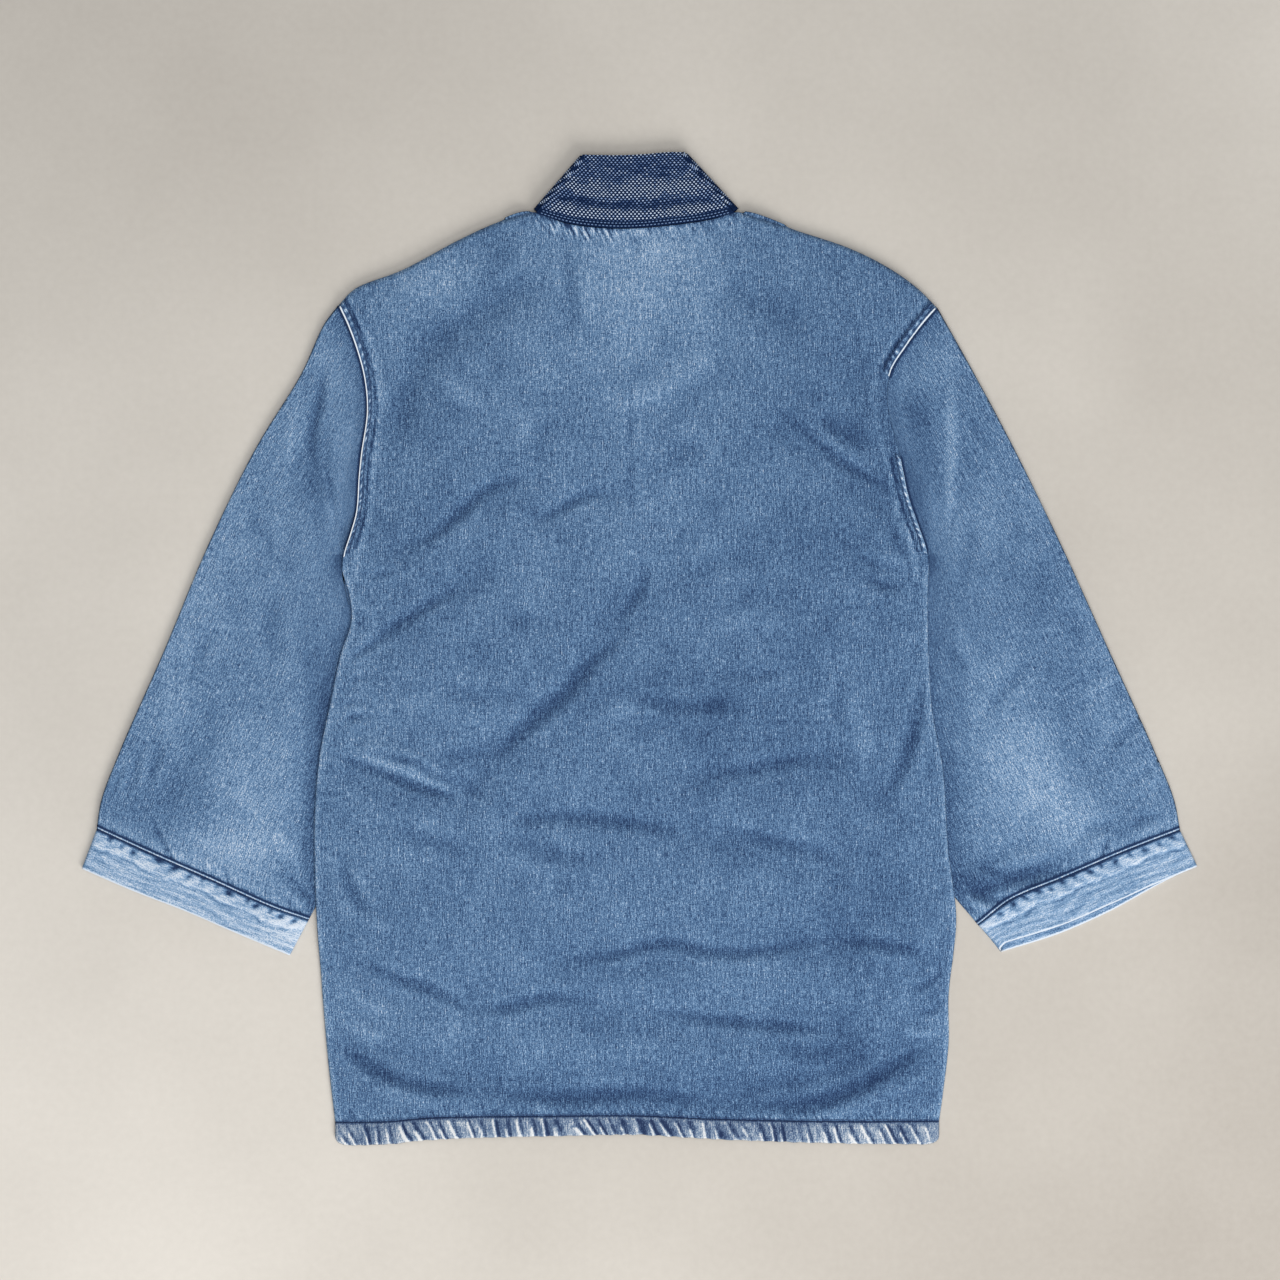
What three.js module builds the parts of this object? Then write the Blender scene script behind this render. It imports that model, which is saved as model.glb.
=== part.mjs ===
// A kimono jacket of washed denim, laid face down and flat, with its sleeves folded down beside it.
// Millimetres. X runs across the back, Y up towards the collar, Z up off the surface it lies on.
// The two fronts and the lower layers of the sleeves lie on z = 0, and the back lies over them.
import * as THREE from "three";

// Driving sizes.
const CLOTH = 1.2;
const HEM_CLOTH = 1.6;
const BAND_CLOTH = 2.4;
const SEAM_GAP = 0.3;
const ARMHOLE_GAP = 0.7;
const COLLAR_GAP = 0.8;
const BODY_TOP = 10.8;
const SHOULDER_TOP = 9.6;
const ARMHOLE_TOP = 6.2;
const SLEEVE_TOP = 5.8;
const TUCKED_TOP = 3.6;
const FOLD_TURN = 2.4;
const TUCK_CLEAR = 12;
const TUCK_EASE = 28;
const LIFT = 3.95;
const HEM_DEPTH = 16;
const HEM_SPREAD = 8;
const HEM_CORNER = 6;
const FRONT_HEM_DEPTH = 14;
const HEM_ROPES = 46;
const HEM_ROPE_HEIGHT = 0.9;
const HEM_ROPE_SLANT = 7;
const CENTRE_GAP = 6;
const COLLAR_WIDTH = 52;
const CUFF_PUCKERS = 13;
const CUFF_PUCKER_HEIGHT = 0.7;
const COLLAR_TOP = 11;
const COLLAR_CLEARANCE = 2.1;
const BODY_WIDTH = 510;
const FRONT_WIDTH = 195;
const FRONT_FOOT_Y = -392;
const COLLAR_BOTTOM = -406;
const TIP_TOP = 8;
const SIDE_SLOPE = 75;
const SHOULDER_SLOPE = 60;
const SIDE_TURN = 4;
const SHOULDER_TURN = 5;
const TURN_STEPS = [0.9, 2.4, 4.5];
const FRONT_COLUMNS = [14, 34, 80];
const HEM_COLUMNS = [40, 100];
const LEAST_UPRIGHT = 0.93;
const SEAM_STRIP_WIDTH = 7;
const SEAM_STRIP_CLOTH = 1;
const SEAM_STRIP_RIB = 0.3;

// Outline of the back. Each row is x, y.
const SHOULDER_LEFT = [[-253, 289], [-239, 303], [-199, 319], [-152, 344], [-119, 359], [-92, 367]];
const NECK_SEAM = [[-92, 367], [-62, 357.5], [-38, 354], [-8, 353], [37, 357], [62, 361], [85, 367]];
const SHOULDER_RIGHT = [[85, 367], [132, 352], [179, 336], [212, 319], [234, 303], [250, 287]];
const ARMHOLE_LEFT = [[-253, 289], [-245, 272], [-237, 250], [-231, 226], [-229, 200], [-234, 164],
  [-236, 144], [-238, 116], [-243, 97], [-248, 81], [-250, 66]];
const ARMHOLE_RIGHT = [[250, 287], [237, 272], [223, 253], [211, 233], [208, 210], [213, 185],
  [219, 162], [226, 129], [234, 105], [241, 84], [243, 68]];
const SIDE_LEFT = [[-250, 66], [-244, 46], [-242, 24], [-251, -4], [-260, -46], [-269, -91],
  [-273, -143], [-272, -210], [-268, -273], [-262, -345], [-256, -397]];
const SIDE_RIGHT = [[243, 68], [242, 36], [243, -5], [246, -52], [255, -101], [259, -164],
  [266, -223], [264, -255], [260, -290], [260, -330], [255, -375], [252, -396]];
const HEM_LINE = [[-256, -397], [-214, -396], [-176, -392.5], [-67, -391], [0, -391], [60, -393.5],
  [135, -395], [252, -396]];

// Outline of each sleeve down to its cuff seam. Its inner edge runs under the side of the body.
const SLEEVES = {
  left: {
    side: -1,
    armhole: ARMHOLE_LEFT,
    outer: [[-253, 289], [-265, 273], [-284, 232], [-323, 168], [-364, 84], [-399, 0],
      [-436, -84], [-452, -126], [-456, -150]],
    inner: [[-246, 56], [-241, 36], [-234, 8], [-239, -30], [-247, -70], [-253, -110],
      [-257, -152], [-262, -194], [-278, -227]],
    cuffSeam: [[-456, -150], [-408, -172], [-360, -193], [-311, -215], [-278, -227]],
    cuffEnd: [[-469, -184], [-425, -203], [-381, -220], [-337, -239], [-294, -257]],
    underCuff: 0,
  },
  right: {
    side: 1,
    armhole: ARMHOLE_RIGHT,
    outer: [[250, 287], [258, 273], [281, 232], [315, 168], [356, 84], [394, 0],
      [432, -84], [449, -126], [454, -151]],
    inner: [[239, 57], [235, 38], [229, 8], [231, -30], [236, -70], [242, -110],
      [247, -152], [256, -194], [284, -231]],
    cuffSeam: [[454, -151], [405, -170], [356, -191], [311, -210], [284, -231]],
    cuffEnd: [[469, -182], [431, -198], [400, -212], [356, -231], [305, -247]],
    underCuff: 9,
  },
};

// Height of the outer surface where the cloth turns under at each side, from the armpit to the hem.
const SIDE_LEVELS = [
  { y: -400, top: 5.4, lift: 0 },
  { y: -272, top: 5.4, lift: 0 },
  { y: -234, top: 7.6, lift: LIFT },
  { y: 92, top: 7.6, lift: LIFT },
  { y: 126, top: ARMHOLE_TOP, lift: 0 },
  { y: 245, top: ARMHOLE_TOP, lift: 0 },
  { y: 290, top: 8, lift: 0 },
  { y: 420, top: 8, lift: 0 },
];

// Largest folds of the back: a curve through three points, the half width, and the rise (+) or dip (-).
const BACK_FOLDS = [
  { from: [-100, 302], by: [-176, 252], to: [-205, 193], width: 15, rise: -2.4 },
  { from: [-190, 305], by: [-205, 280], to: [-215, 235], width: 20, rise: 1.2 },
  { from: [-200, 84], by: [-150, 118], to: [-96, 142], width: 13, rise: -1.6 },
  { from: [-84, 110], by: [-50, 128], to: [-16, 130], width: 11, rise: -1.3 },
  { from: [-222, 8], by: [-165, 44], to: [-134, 62], width: 13, rise: -1.6 },
  { from: [-134, -101], by: [-50, -18], to: [-4, 50], width: 18, rise: -2.4 },
  { from: [-6, 60], by: [-8, 140], to: [-6, 230], width: 14, rise: 0.9 },
  { from: [-228, -83], by: [-206, -90], to: [-184, -97], width: 7, rise: 2 },
  { from: [-240, -98], by: [-190, -116], to: [-142, -122], width: 12, rise: -2 },
  { from: [51, -105], by: [105, -100], to: [160, -93], width: 14, rise: -1.6 },
  { from: [-84, -139], by: [30, -152], to: [160, -177], width: 16, rise: -1.8 },
  { from: [202, -126], by: [230, -76], to: [240, -9], width: 14, rise: -1.6 },
  { from: [-67, -261], by: [60, -252], to: [177, -244], width: 17, rise: -1.8 },
  { from: [-200, -286], by: [-80, -300], to: [177, -320], width: 20, rise: -2 },
  { from: [-248, -338], by: [10, -380], to: [240, -338], width: 16, rise: -2.2 },
  { from: [118, 184], by: [160, 160], to: [210, 126], width: 13, rise: -1.6 },
  { from: [177, 92], by: [205, 66], to: [232, 46], width: 12, rise: -1.4 },
  { from: [-62, 344], by: [-60, 305], to: [-58, 268], width: 9, rise: -1.2 },
  { from: [84, 300], by: [105, 290], to: [126, 280], width: 16, rise: -1.4 },
  { from: [196, 210], by: [206, 170], to: [208, 150], width: 12, rise: 1.4 },
];

// Largest folds of each sleeve's upper layer, in the same columns.
const SLEEVE_FOLDS = [
  { from: [-272, 218], by: [-278, 160], to: [-262, 128], width: 13, rise: -1.1 },
  { from: [-400, -136], by: [-385, -110], to: [-360, -60], width: 15, rise: -1 },
  { from: [-330, 40], by: [-320, -40], to: [-315, -110], width: 18, rise: -0.8 },
  { from: [262, 208], by: [262, 140], to: [246, 30], width: 10, rise: 0.4 },
  { from: [282, -200], by: [315, -188], to: [353, -181], width: 12, rise: -1.2 },
  { from: [345, 60], by: [352, -20], to: [372, -100], width: 18, rise: -0.9 },
];

const COLOURS = {
  body: 0x5a76a0,
  sleeve: 0x6c8aaf,
  cuff: 0x93aac8,
  hem: 0x74889f,
  collar: 0x3e4f6a,
  seam: 0x8ea6c6,
};

const { clamp, lerp, smoothstep } = THREE.MathUtils;

// A smooth plane curve through a table's points, as a function of its share of the length.
function route(points) {
  const curve = new THREE.CatmullRomCurve3(
    points.map(([x, y]) => new THREE.Vector3(x, y, 0)), false, "centripetal");
  curve.arcLengthDivisions = 400;
  return (share) => {
    const p = curve.getPointAt(clamp(share, 0, 1));
    return [p.x, p.y];
  };
}

// Shares of a length from 0 to 1: a few close ones at each end, and even ones between.
function shares(length, count, close) {
  const ends = [0, ...close];
  const first = ends.at(-1) / length;
  const middle = Array.from({ length: count - 1 }, (_, i) => lerp(first, 1 - first, (i + 1) / count));
  return [...ends.map((e) => e / length), ...middle, ...ends.map((e) => 1 - e / length).reverse()];
}

// The distance from a point to a plane curve given by samples along it.
function distance(samples, x, y) {
  let best = Infinity;
  for (let i = 1; i < samples.length; i += 1) {
    const [ax, ay] = samples[i - 1];
    const [bx, by] = samples[i];
    const length = (bx - ax) ** 2 + (by - ay) ** 2;
    const along = clamp(((x - ax) * (bx - ax) + (y - ay) * (by - ay)) / length, 0, 1);
    best = Math.min(best, Math.hypot(x - lerp(ax, bx, along), y - lerp(ay, by, along)));
  }
  return best;
}

const sampled = (points, count = 40) => {
  const at = route(points);
  return Array.from({ length: count + 1 }, (_, i) => at(i / count));
};

// Rise of the folds at a point: a bell across each fold, which fades out towards its two ends.
function folds(table) {
  const curves = table.map((row) => ({ ...row, samples: sampled([row.from, row.by, row.to], 12) }));
  return (x, y) => curves.reduce((sum, fold) => {
    const d = distance(fold.samples, x, y) / fold.width;
    return d > 3 ? sum : sum + fold.rise * Math.exp(-d * d);
  }, 0);
}

const backFolds = folds(BACK_FOLDS);
const sleeveFolds = folds(SLEEVE_FOLDS);

// A named level at a height y, eased between the rows of the side table.
function sideLevel(name, y) {
  const after = SIDE_LEVELS.findIndex((row) => row.y >= y);
  if (after < 1) return SIDE_LEVELS.at(after === 0 ? 0 : -1)[name];
  const [low, high] = [SIDE_LEVELS[after - 1], SIDE_LEVELS[after]];
  return lerp(low[name], high[name], smoothstep(y, low.y, high.y));
}

const sideSamples = { left: sampled(SIDE_LEFT), right: sampled(SIDE_RIGHT) };
const armholeSamples = { left: sampled(ARMHOLE_LEFT), right: sampled(ARMHOLE_RIGHT) };
const shoulderSamples = [...sampled(SHOULDER_LEFT), ...sampled(NECK_SEAM), ...sampled(SHOULDER_RIGHT)];

// Where the body's side seam lies between its upper and lower levels.
const seamLevel = (y) => lerp(sideLevel("lift", y), sideLevel("top", y), 0.5);

// Where the folds fade out: distances in from the sides and from the shoulders.
const SIDE_FADE = [4, 40];
const SHOULDER_FADE = [2, 20];

// Outer surface of the back, before its edges turn down.
function backLevel(x, y) {
  const edge = Math.min(
    distance(sideSamples.left, x, y), distance(sideSamples.right, x, y),
    distance(armholeSamples.left, x, y), distance(armholeSamples.right, x, y));
  const across = lerp(sideLevel("top", y), BODY_TOP, smoothstep(edge, 0, SIDE_SLOPE));
  const top = distance(shoulderSamples, x, y);
  const level = lerp(SHOULDER_TOP, across, smoothstep(top, 0, SHOULDER_SLOPE));
  const tip = lerp(TIP_TOP, level, smoothstep(edge + top, 0, SHOULDER_SLOPE));
  return tip + backFolds(x, y) * smoothstep(edge, ...SIDE_FADE) * smoothstep(top, ...SHOULDER_FADE);
}

// Drop of an edge that turns under: a quarter of an ellipse, `reach` wide and `drop` deep.
const turn = (d, reach, drop) => (d >= reach ? 0 : drop * (1 - Math.sqrt(1 - (1 - d / reach) ** 2)));

// A flat blend of four edge curves: left and right run up, bottom and top run from left to right.
function patch([l, r, b, t], across, up) {
  return up.map((v) => across.map((u) => [0, 1].map((k) => (
    (1 - u) * l(v)[k] + u * r(v)[k] + (1 - v) * b(u)[k] + v * t(u)[k]
    - (1 - u) * (1 - v) * b(0)[k] - u * (1 - v) * b(1)[k] - (1 - u) * v * t(0)[k] - u * v * t(1)[k]))));
}

// Unit normals of a grid of points, from the differences between neighbours.
function normals(grid) {
  const difference = (p, q) => new THREE.Vector3(...p).sub(new THREE.Vector3(...q));
  return grid.map((row, j) => row.map((_, i) => {
    const along = difference(row[Math.min(i + 1, row.length - 1)], row[Math.max(i - 1, 0)]);
    const up = difference(grid[Math.min(j + 1, grid.length - 1)][i], grid[Math.max(j - 1, 0)][i]);
    return along.cross(up).normalize();
  }));
}

// The same normals, laid level at an edge that turns under, so that its face stands square to it.
function squared(outward) {
  outward.forEach((row, j) => row.forEach((n, i) => {
    const atEdge = [0, outward.length - 1].includes(j) || [0, row.length - 1].includes(i);
    if (atEdge && Math.abs(n.z) < LEAST_UPRIGHT) n.setZ(0).normalize();
  }));
  return outward;
}

// A closed wall of cloth: the outer points, and the same points moved in by the cloth's thickness.
function wall(grid, thickness) {
  const outward = squared(normals(grid));
  const inner = grid.map((row, j) => row.map((p, i) => (
    new THREE.Vector3(...p).addScaledVector(outward[j][i], -thickness).toArray())));
  return shell(grid, inner, false);
}

// The closed surface between an outer grid and an inner grid of the same size.
function shell(outer, inner, ring) {
  const rows = outer.length;
  const columns = outer[0].length;
  const positions = [...outer.flat(), ...inner.flat()].flat();
  const outside = (j, i) => j * columns + (i % columns);
  const inside = (j, i) => rows * columns + outside(j, i);
  const faces = [];
  const quad = (a, b, c, d) => faces.push(a, b, c, a, c, d);
  const steps = ring ? columns : columns - 1;
  for (let j = 0; j < rows - 1; j += 1) {
    for (let i = 0; i < steps; i += 1) {
      quad(outside(j, i), outside(j, i + 1), outside(j + 1, i + 1), outside(j + 1, i));
      quad(inside(j, i), inside(j + 1, i), inside(j + 1, i + 1), inside(j, i + 1));
    }
  }
  for (let i = 0; i < steps; i += 1) {
    quad(inside(0, i), inside(0, i + 1), outside(0, i + 1), outside(0, i));
    quad(outside(rows - 1, i), outside(rows - 1, i + 1), inside(rows - 1, i + 1), inside(rows - 1, i));
  }
  const last = columns - 1;
  for (let j = 0; j < rows - 1 && !ring; j += 1) {
    quad(inside(j, 0), outside(j, 0), outside(j + 1, 0), inside(j + 1, 0));
    quad(outside(j, last), inside(j, last), inside(j + 1, last), outside(j + 1, last));
  }
  const geometry = new THREE.BufferGeometry();
  geometry.setAttribute("position", new THREE.Float32BufferAttribute(positions, 3));
  geometry.setIndex(faces);
  geometry.computeVertexNormals();
  return geometry;
}

const jacket = new THREE.Group();

function add(name, geometry, colour, roughness = 0.95) {
  const mesh = new THREE.Mesh(geometry, new THREE.MeshStandardMaterial({ color: colour, roughness }));
  mesh.name = name;
  jacket.add(mesh);
}

const reversed = (points) => [...points].reverse();

// Rows of the body's grid: even ones up the side, then even ones up the armhole, close at the tip.
const SIDE_SHARE = 0.66;
const SIDE_ROWS = Array.from({ length: 16 }, (_, i) => i / 16);
const ARMHOLE_ROWS = [0, 0.1, 0.2, 0.3, 0.4, 0.5, 0.6, 0.7, 0.8, 0.9, 0.976, 0.989, 0.996, 1];
const BODY_ROWS = [...SIDE_ROWS.map((v) => v * SIDE_SHARE),
  ...ARMHOLE_ROWS.map((v) => lerp(SIDE_SHARE, 1, v))];

// A side of the body from the hem up to the armpit, and on up the armhole to the shoulder tip.
function bodyEdge(sidePoints, armholePoints) {
  const below = route(reversed(sidePoints));
  const above = route(reversed(armholePoints));
  return (v) => (v < SIDE_SHARE ? below(v / SIDE_SHARE) : above((v - SIDE_SHARE) / (1 - SIDE_SHARE)));
}

const bodyEdges = {
  left: bodyEdge(SIDE_LEFT, ARMHOLE_LEFT),
  right: bodyEdge(SIDE_RIGHT, ARMHOLE_RIGHT),
};
const TOP_EDGE = [...SHOULDER_LEFT, ...NECK_SEAM.slice(1), ...SHOULDER_RIGHT.slice(1)];
const shoulderLine = { left: sampled(SHOULDER_LEFT), right: sampled(SHOULDER_RIGHT) };
const BELOW_ARMPIT = 66;
const BESIDE_ARMPIT = 76;

// How far the side below the armpit is free of the sleeve, where its edge turns under.
const freeSide = (y) => 1 - smoothstep(y, BELOW_ARMPIT, BESIDE_ARMPIT);

// Height of the back at a point, with its side and shoulder edges turned down to their seams.
function backHeight(x, y) {
  const side = x < 0 ? "left" : "right";
  const level = backLevel(x, y);
  const sideDrop = turn(distance(sideSamples[side], x, y), SIDE_TURN, level - seamLevel(y) - SEAM_GAP / 2);
  const shoulder = distance(shoulderLine[side], x, y);
  const shoulderDrop = turn(shoulder, SHOULDER_TURN, level - (SHOULDER_TOP + SEAM_GAP) / 2);
  return level - Math.max(sideDrop * freeSide(y), shoulderDrop);
}

// The x of a near-upright curve at a height y.
function curveX(samples, y) {
  const down = samples.findIndex((p) => p[1] <= y);
  if (down < 1) return samples.at(down === 0 ? 0 : -1)[0];
  const [above, below] = [samples[down - 1], samples[down]];
  return lerp(above[0], below[0], (above[1] - y) / (above[1] - below[1]));
}

const tuckedEdge = { left: sampled(SLEEVES.left.inner), right: sampled(SLEEVES.right.inner) };

// Lift of the front over the inner edge of the sleeve, which lies tucked under the body's side.
function frontLift(x, y, side) {
  const past = Math.abs(curveX(tuckedEdge[side], y)) - Math.abs(x);
  return sideLevel("lift", y) * (1 - smoothstep(past, TUCK_CLEAR, TUCK_CLEAR + TUCK_EASE));
}

// Underside of a front, with its side and shoulder edges turned up to their seams.
function frontHeight(x, y, side) {
  const lift = frontLift(x, y, side);
  const sideRise = seamLevel(y) - SEAM_GAP / 2 - sideLevel("lift", y);
  const sideTurn = turn(distance(sideSamples[side], x, y), SIDE_TURN, sideRise);
  const shoulder = distance(shoulderLine[side], x, y);
  const shoulderTurn = turn(shoulder, SHOULDER_TURN, (SHOULDER_TOP - SEAM_GAP) / 2);
  return lift + Math.max(sideTurn * freeSide(y), shoulderTurn);
}

const BACK_COLUMNS = shares(BODY_WIDTH, 28, TURN_STEPS);
const backGrid = patch([bodyEdges.left, bodyEdges.right, route(HEM_LINE), route(TOP_EDGE)],
  BACK_COLUMNS, BODY_ROWS).map((row) => row.map(([x, y]) => [x, y, backHeight(x, y)]));

// Inner edge of a front, where the collar band is sewn on, from the hem up to the neck.
function frontInnerEdge(side) {
  const sign = side === "left" ? -1 : 1;
  const centre = sign * (CENTRE_GAP / 2 + COLLAR_WIDTH);
  const neck = side === "left" ? SHOULDER_LEFT.at(-1) : SHOULDER_RIGHT[0];
  return [[centre, FRONT_FOOT_Y], [centre, -190], [centre, 10], [centre, 180],
    [centre + sign * 2, 262], [lerp(centre, neck[0], 0.42), 318], neck];
}

function makeFront(side) {
  const inner = route(frontInnerEdge(side).map(([x, y]) => [x + Math.sign(x) * COLLAR_GAP, y]));
  const outer = bodyEdges[side];
  const across = [0, ...TURN_STEPS, ...FRONT_COLUMNS, FRONT_WIDTH].map((d) => d / FRONT_WIDTH);
  const edges = side === "left"
    ? [outer, inner, route([outer(0), inner(0)]), route(SHOULDER_LEFT)]
    : [inner, outer, route([inner(0), outer(0)]), route(SHOULDER_RIGHT)];
  const shareAcross = side === "left" ? across : reversed(across.map((u) => 1 - u));
  const underside = patch(edges, shareAcross, BODY_ROWS)
    .map((row) => reversed(row.map(([x, y]) => [x, y, frontHeight(x, y, side)])));
  add(`front_${side}`, wall(underside, CLOTH), COLOURS.body);
}

// The turned hem of the back, roped: slanting ridges along its lower edge.
function makeBackHem() {
  const columns = HEM_ROPES * 3;
  const edge = route(HEM_LINE);
  const grid = [1, 0.5, 0].map((down) => Array.from({ length: columns + 1 }, (_, i) => {
    const share = i / columns;
    const fromEnd = Math.min(share, 1 - share);
    const [x, y] = edge(share);
    const depth = HEM_DEPTH + HEM_SPREAD * Math.abs(share - 0.5)
      - HEM_CORNER * (1 - smoothstep(fromEnd, 0, 0.02));
    const sideDrop = turn(fromEnd * BODY_WIDTH, SIDE_TURN, backLevel(x, y) - seamLevel(y) - SEAM_GAP / 2);
    const ropes = HEM_ROPES * (share - (down * HEM_ROPE_SLANT) / BODY_WIDTH);
    const wave = 0.5 + 0.5 * Math.sin(ropes * 2 * Math.PI);
    const rope = HEM_ROPE_HEIGHT * wave * smoothstep(down, 0, 0.4) * smoothstep(fromEnd, 0, 0.02);
    return [x, y - SEAM_GAP - down * depth, backLevel(x, y) - sideDrop + rope];
  }));
  add("hem_back", wall(grid, HEM_CLOTH), COLOURS.hem);
}

function makeFrontHem(side) {
  const [from, fromY] = bodyEdges[side](0);
  const to = frontInnerEdge(side)[0][0] + Math.sign(from) * COLLAR_GAP;
  const width = Math.abs(from - to);
  const across = [0, ...TURN_STEPS, ...HEM_COLUMNS, width];
  const grid = [0, 0.5, 1].map((down) => across.map((d) => {
    const x = from - Math.sign(from) * d;
    const y = lerp(fromY, FRONT_FOOT_Y, d / width) - SEAM_GAP;
    const depth = FRONT_HEM_DEPTH - HEM_CORNER * (1 - smoothstep(d, 0, 10));
    return [x, y - down * depth, turn(d, SIDE_TURN, seamLevel(fromY) - SEAM_GAP / 2)];
  }));
  add(`hem_front_${side}`, wall(side === "left" ? grid : grid.map(reversed), HEM_CLOTH), COLOURS.hem);
}

// The collar: one doubled band up a front edge, folded over the shoulder line, across the back of the
// neck, folded again and down the other front. A row gives its sewn edge, its free edge and its height.
const FOLD_LEFT = { sewn: [-89, 370], free: [-50, 415] };
const FOLD_RIGHT = { sewn: [83, 370.7], free: [40, 417] };
const COLLAR_CREST = [[-14, 414.5], [6, 415.5], [24, 417]];
const FOLD_ANGLES = [0, 30, 60, 90, 120, 150, 180];
const COLLAR_FRONT_SHARES = [0, 0.25, 0.5, 0.62, 0.7, 0.76, 0.81, 0.85, 0.89, 0.93, 0.96, 0.985];
const COLLAR_BACK_SHARES = [0.06, 0.12, 0.24, 0.37, 0.5, 0.63, 0.76, 0.88, 0.94];
const BAND_SHARES = [0, 0.25, 0.5, 0.75, 1];

function collarFold({ sewn, free }, sign) {
  const radius = COLLAR_TOP / 2;
  const along = new THREE.Vector2(free[0] - sewn[0], free[1] - sewn[1]).normalize();
  const out = new THREE.Vector2(sign * along.y, -sign * along.x);
  return FOLD_ANGLES.map((degrees) => {
    const angle = THREE.MathUtils.degToRad(degrees);
    const reach = radius * (Math.sin(angle) - 1);
    const move = ([x, y]) => [x + out.x * reach, y + out.y * reach];
    return { sewn: move(sewn), free: move(free), top: radius * (1 - Math.cos(angle)) };
  });
}

function collarFront(side) {
  const sign = side === "left" ? -1 : 1;
  const freeEdge = route([[sign * CENTRE_GAP / 2, COLLAR_BOTTOM], [sign * CENTRE_GAP / 2, -190],
    [sign * CENTRE_GAP / 2, 10], [sign * CENTRE_GAP / 2, 180], [sign * (CENTRE_GAP / 2 + 1), 262],
    [sign * 10, 330], side === "left" ? [-46, 408] : [37, 410]]);
  const sewnEdge = route([[sign * (CENTRE_GAP / 2 + COLLAR_WIDTH), COLLAR_BOTTOM],
    ...frontInnerEdge(side).slice(1, -1), side === "left" ? [-84, 360] : [79, 360]]);
  return COLLAR_FRONT_SHARES.map((share) => ({ sewn: sewnEdge(share), free: freeEdge(share), top: 0 }));
}

function makeCollar() {
  const neck = route(NECK_SEAM.map(([x, y]) => [x, y + COLLAR_CLEARANCE]));
  const crest = route([FOLD_LEFT.free, ...COLLAR_CREST, FOLD_RIGHT.free]);
  const back = COLLAR_BACK_SHARES.map((share) => ({
    sewn: neck(share), free: crest(share), top: COLLAR_TOP }));
  const rows = [
    ...collarFront("left"), ...collarFold(FOLD_LEFT, -1),
    ...back,
    ...reversed(collarFold(FOLD_RIGHT, 1)), ...reversed(collarFront("right")),
  ];
  const grid = rows.map(({ sewn, free, top }) => BAND_SHARES.map((w) => (
    [lerp(sewn[0], free[0], w), lerp(sewn[1], free[1], w), top])));
  add("collar", wall(reversed(grid), BAND_CLOTH), COLOURS.collar);
}

// A point of the back's own grid, at a row between 0 and the last, a distance in from one side.
function onBack(row, side, inset) {
  const j = Math.min(Math.floor(row), backGrid.length - 2);
  const u = inset / BODY_WIDTH;
  const i = BACK_COLUMNS.findIndex((c) => c > u);
  const w = (u - BACK_COLUMNS[i - 1]) / (BACK_COLUMNS[i] - BACK_COLUMNS[i - 1]);
  const column = (k) => (side === "left" ? k : BACK_COLUMNS.length - 1 - k);
  return [0, 1, 2].map((k) => lerp(
    lerp(backGrid[j][column(i - 1)][k], backGrid[j][column(i)][k], w),
    lerp(backGrid[j + 1][column(i - 1)][k], backGrid[j + 1][column(i)][k], w), row - j));
}

// The felled seam down an armhole: a raised strip made from the back's own points, moved out.
function makeArmholeSeam(name, side, from, to) {
  const first = SIDE_ROWS.length;
  const count = Math.round((to - from) * 2);
  const grid = Array.from({ length: count + 1 }, (_, i) => [0.4, 2, 5, SEAM_STRIP_WIDTH].map((d, k) => {
    const [x, y, z] = onBack(first + lerp(from, to, i / count), side, d);
    const rib = (k === 1 || k === 2) && i % 2 ? SEAM_STRIP_RIB : 0;
    return [x, y, z + SEAM_GAP + SEAM_STRIP_CLOTH + rib];
  }));
  add(name, wall(side === "left" ? grid : grid.map(reversed), SEAM_STRIP_CLOTH), COLOURS.seam);
}

// Where a sleeve's upper layer changes level: heights beside the armhole, and distances out from the
// body's side and from the armhole.
const JOINED = [96, 130];
const CLEAR_OF_SIDE = [2, 34];
const FOLDS_BESIDE = [4, 30];
const AWAY_FROM_ARMHOLE = [0, 20];

// Height of a sleeve's upper layer: level with the back at the armhole, low under the body's side.
function sleeveTop(x, y, shape) {
  const side = shape.side < 0 ? "left" : "right";
  const fromArmhole = distance(armholeSamples[side], x, y);
  const beside = Math.abs(x) - Math.abs(curveX(sideSamples[side], Math.min(y, BELOW_ARMPIT)));
  const joined = smoothstep(y, ...JOINED);
  const clear = smoothstep(beside, ...CLEAR_OF_SIDE);
  const away = smoothstep(fromArmhole, ...AWAY_FROM_ARMHOLE);
  const open = lerp(TUCKED_TOP, SLEEVE_TOP, Math.max(clear, joined * away));
  const level = lerp(lerp(TUCKED_TOP, ARMHOLE_TOP, joined), open, away);
  return level + sleeveFolds(x, y) * smoothstep(beside, ...FOLDS_BESIDE);
}

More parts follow.
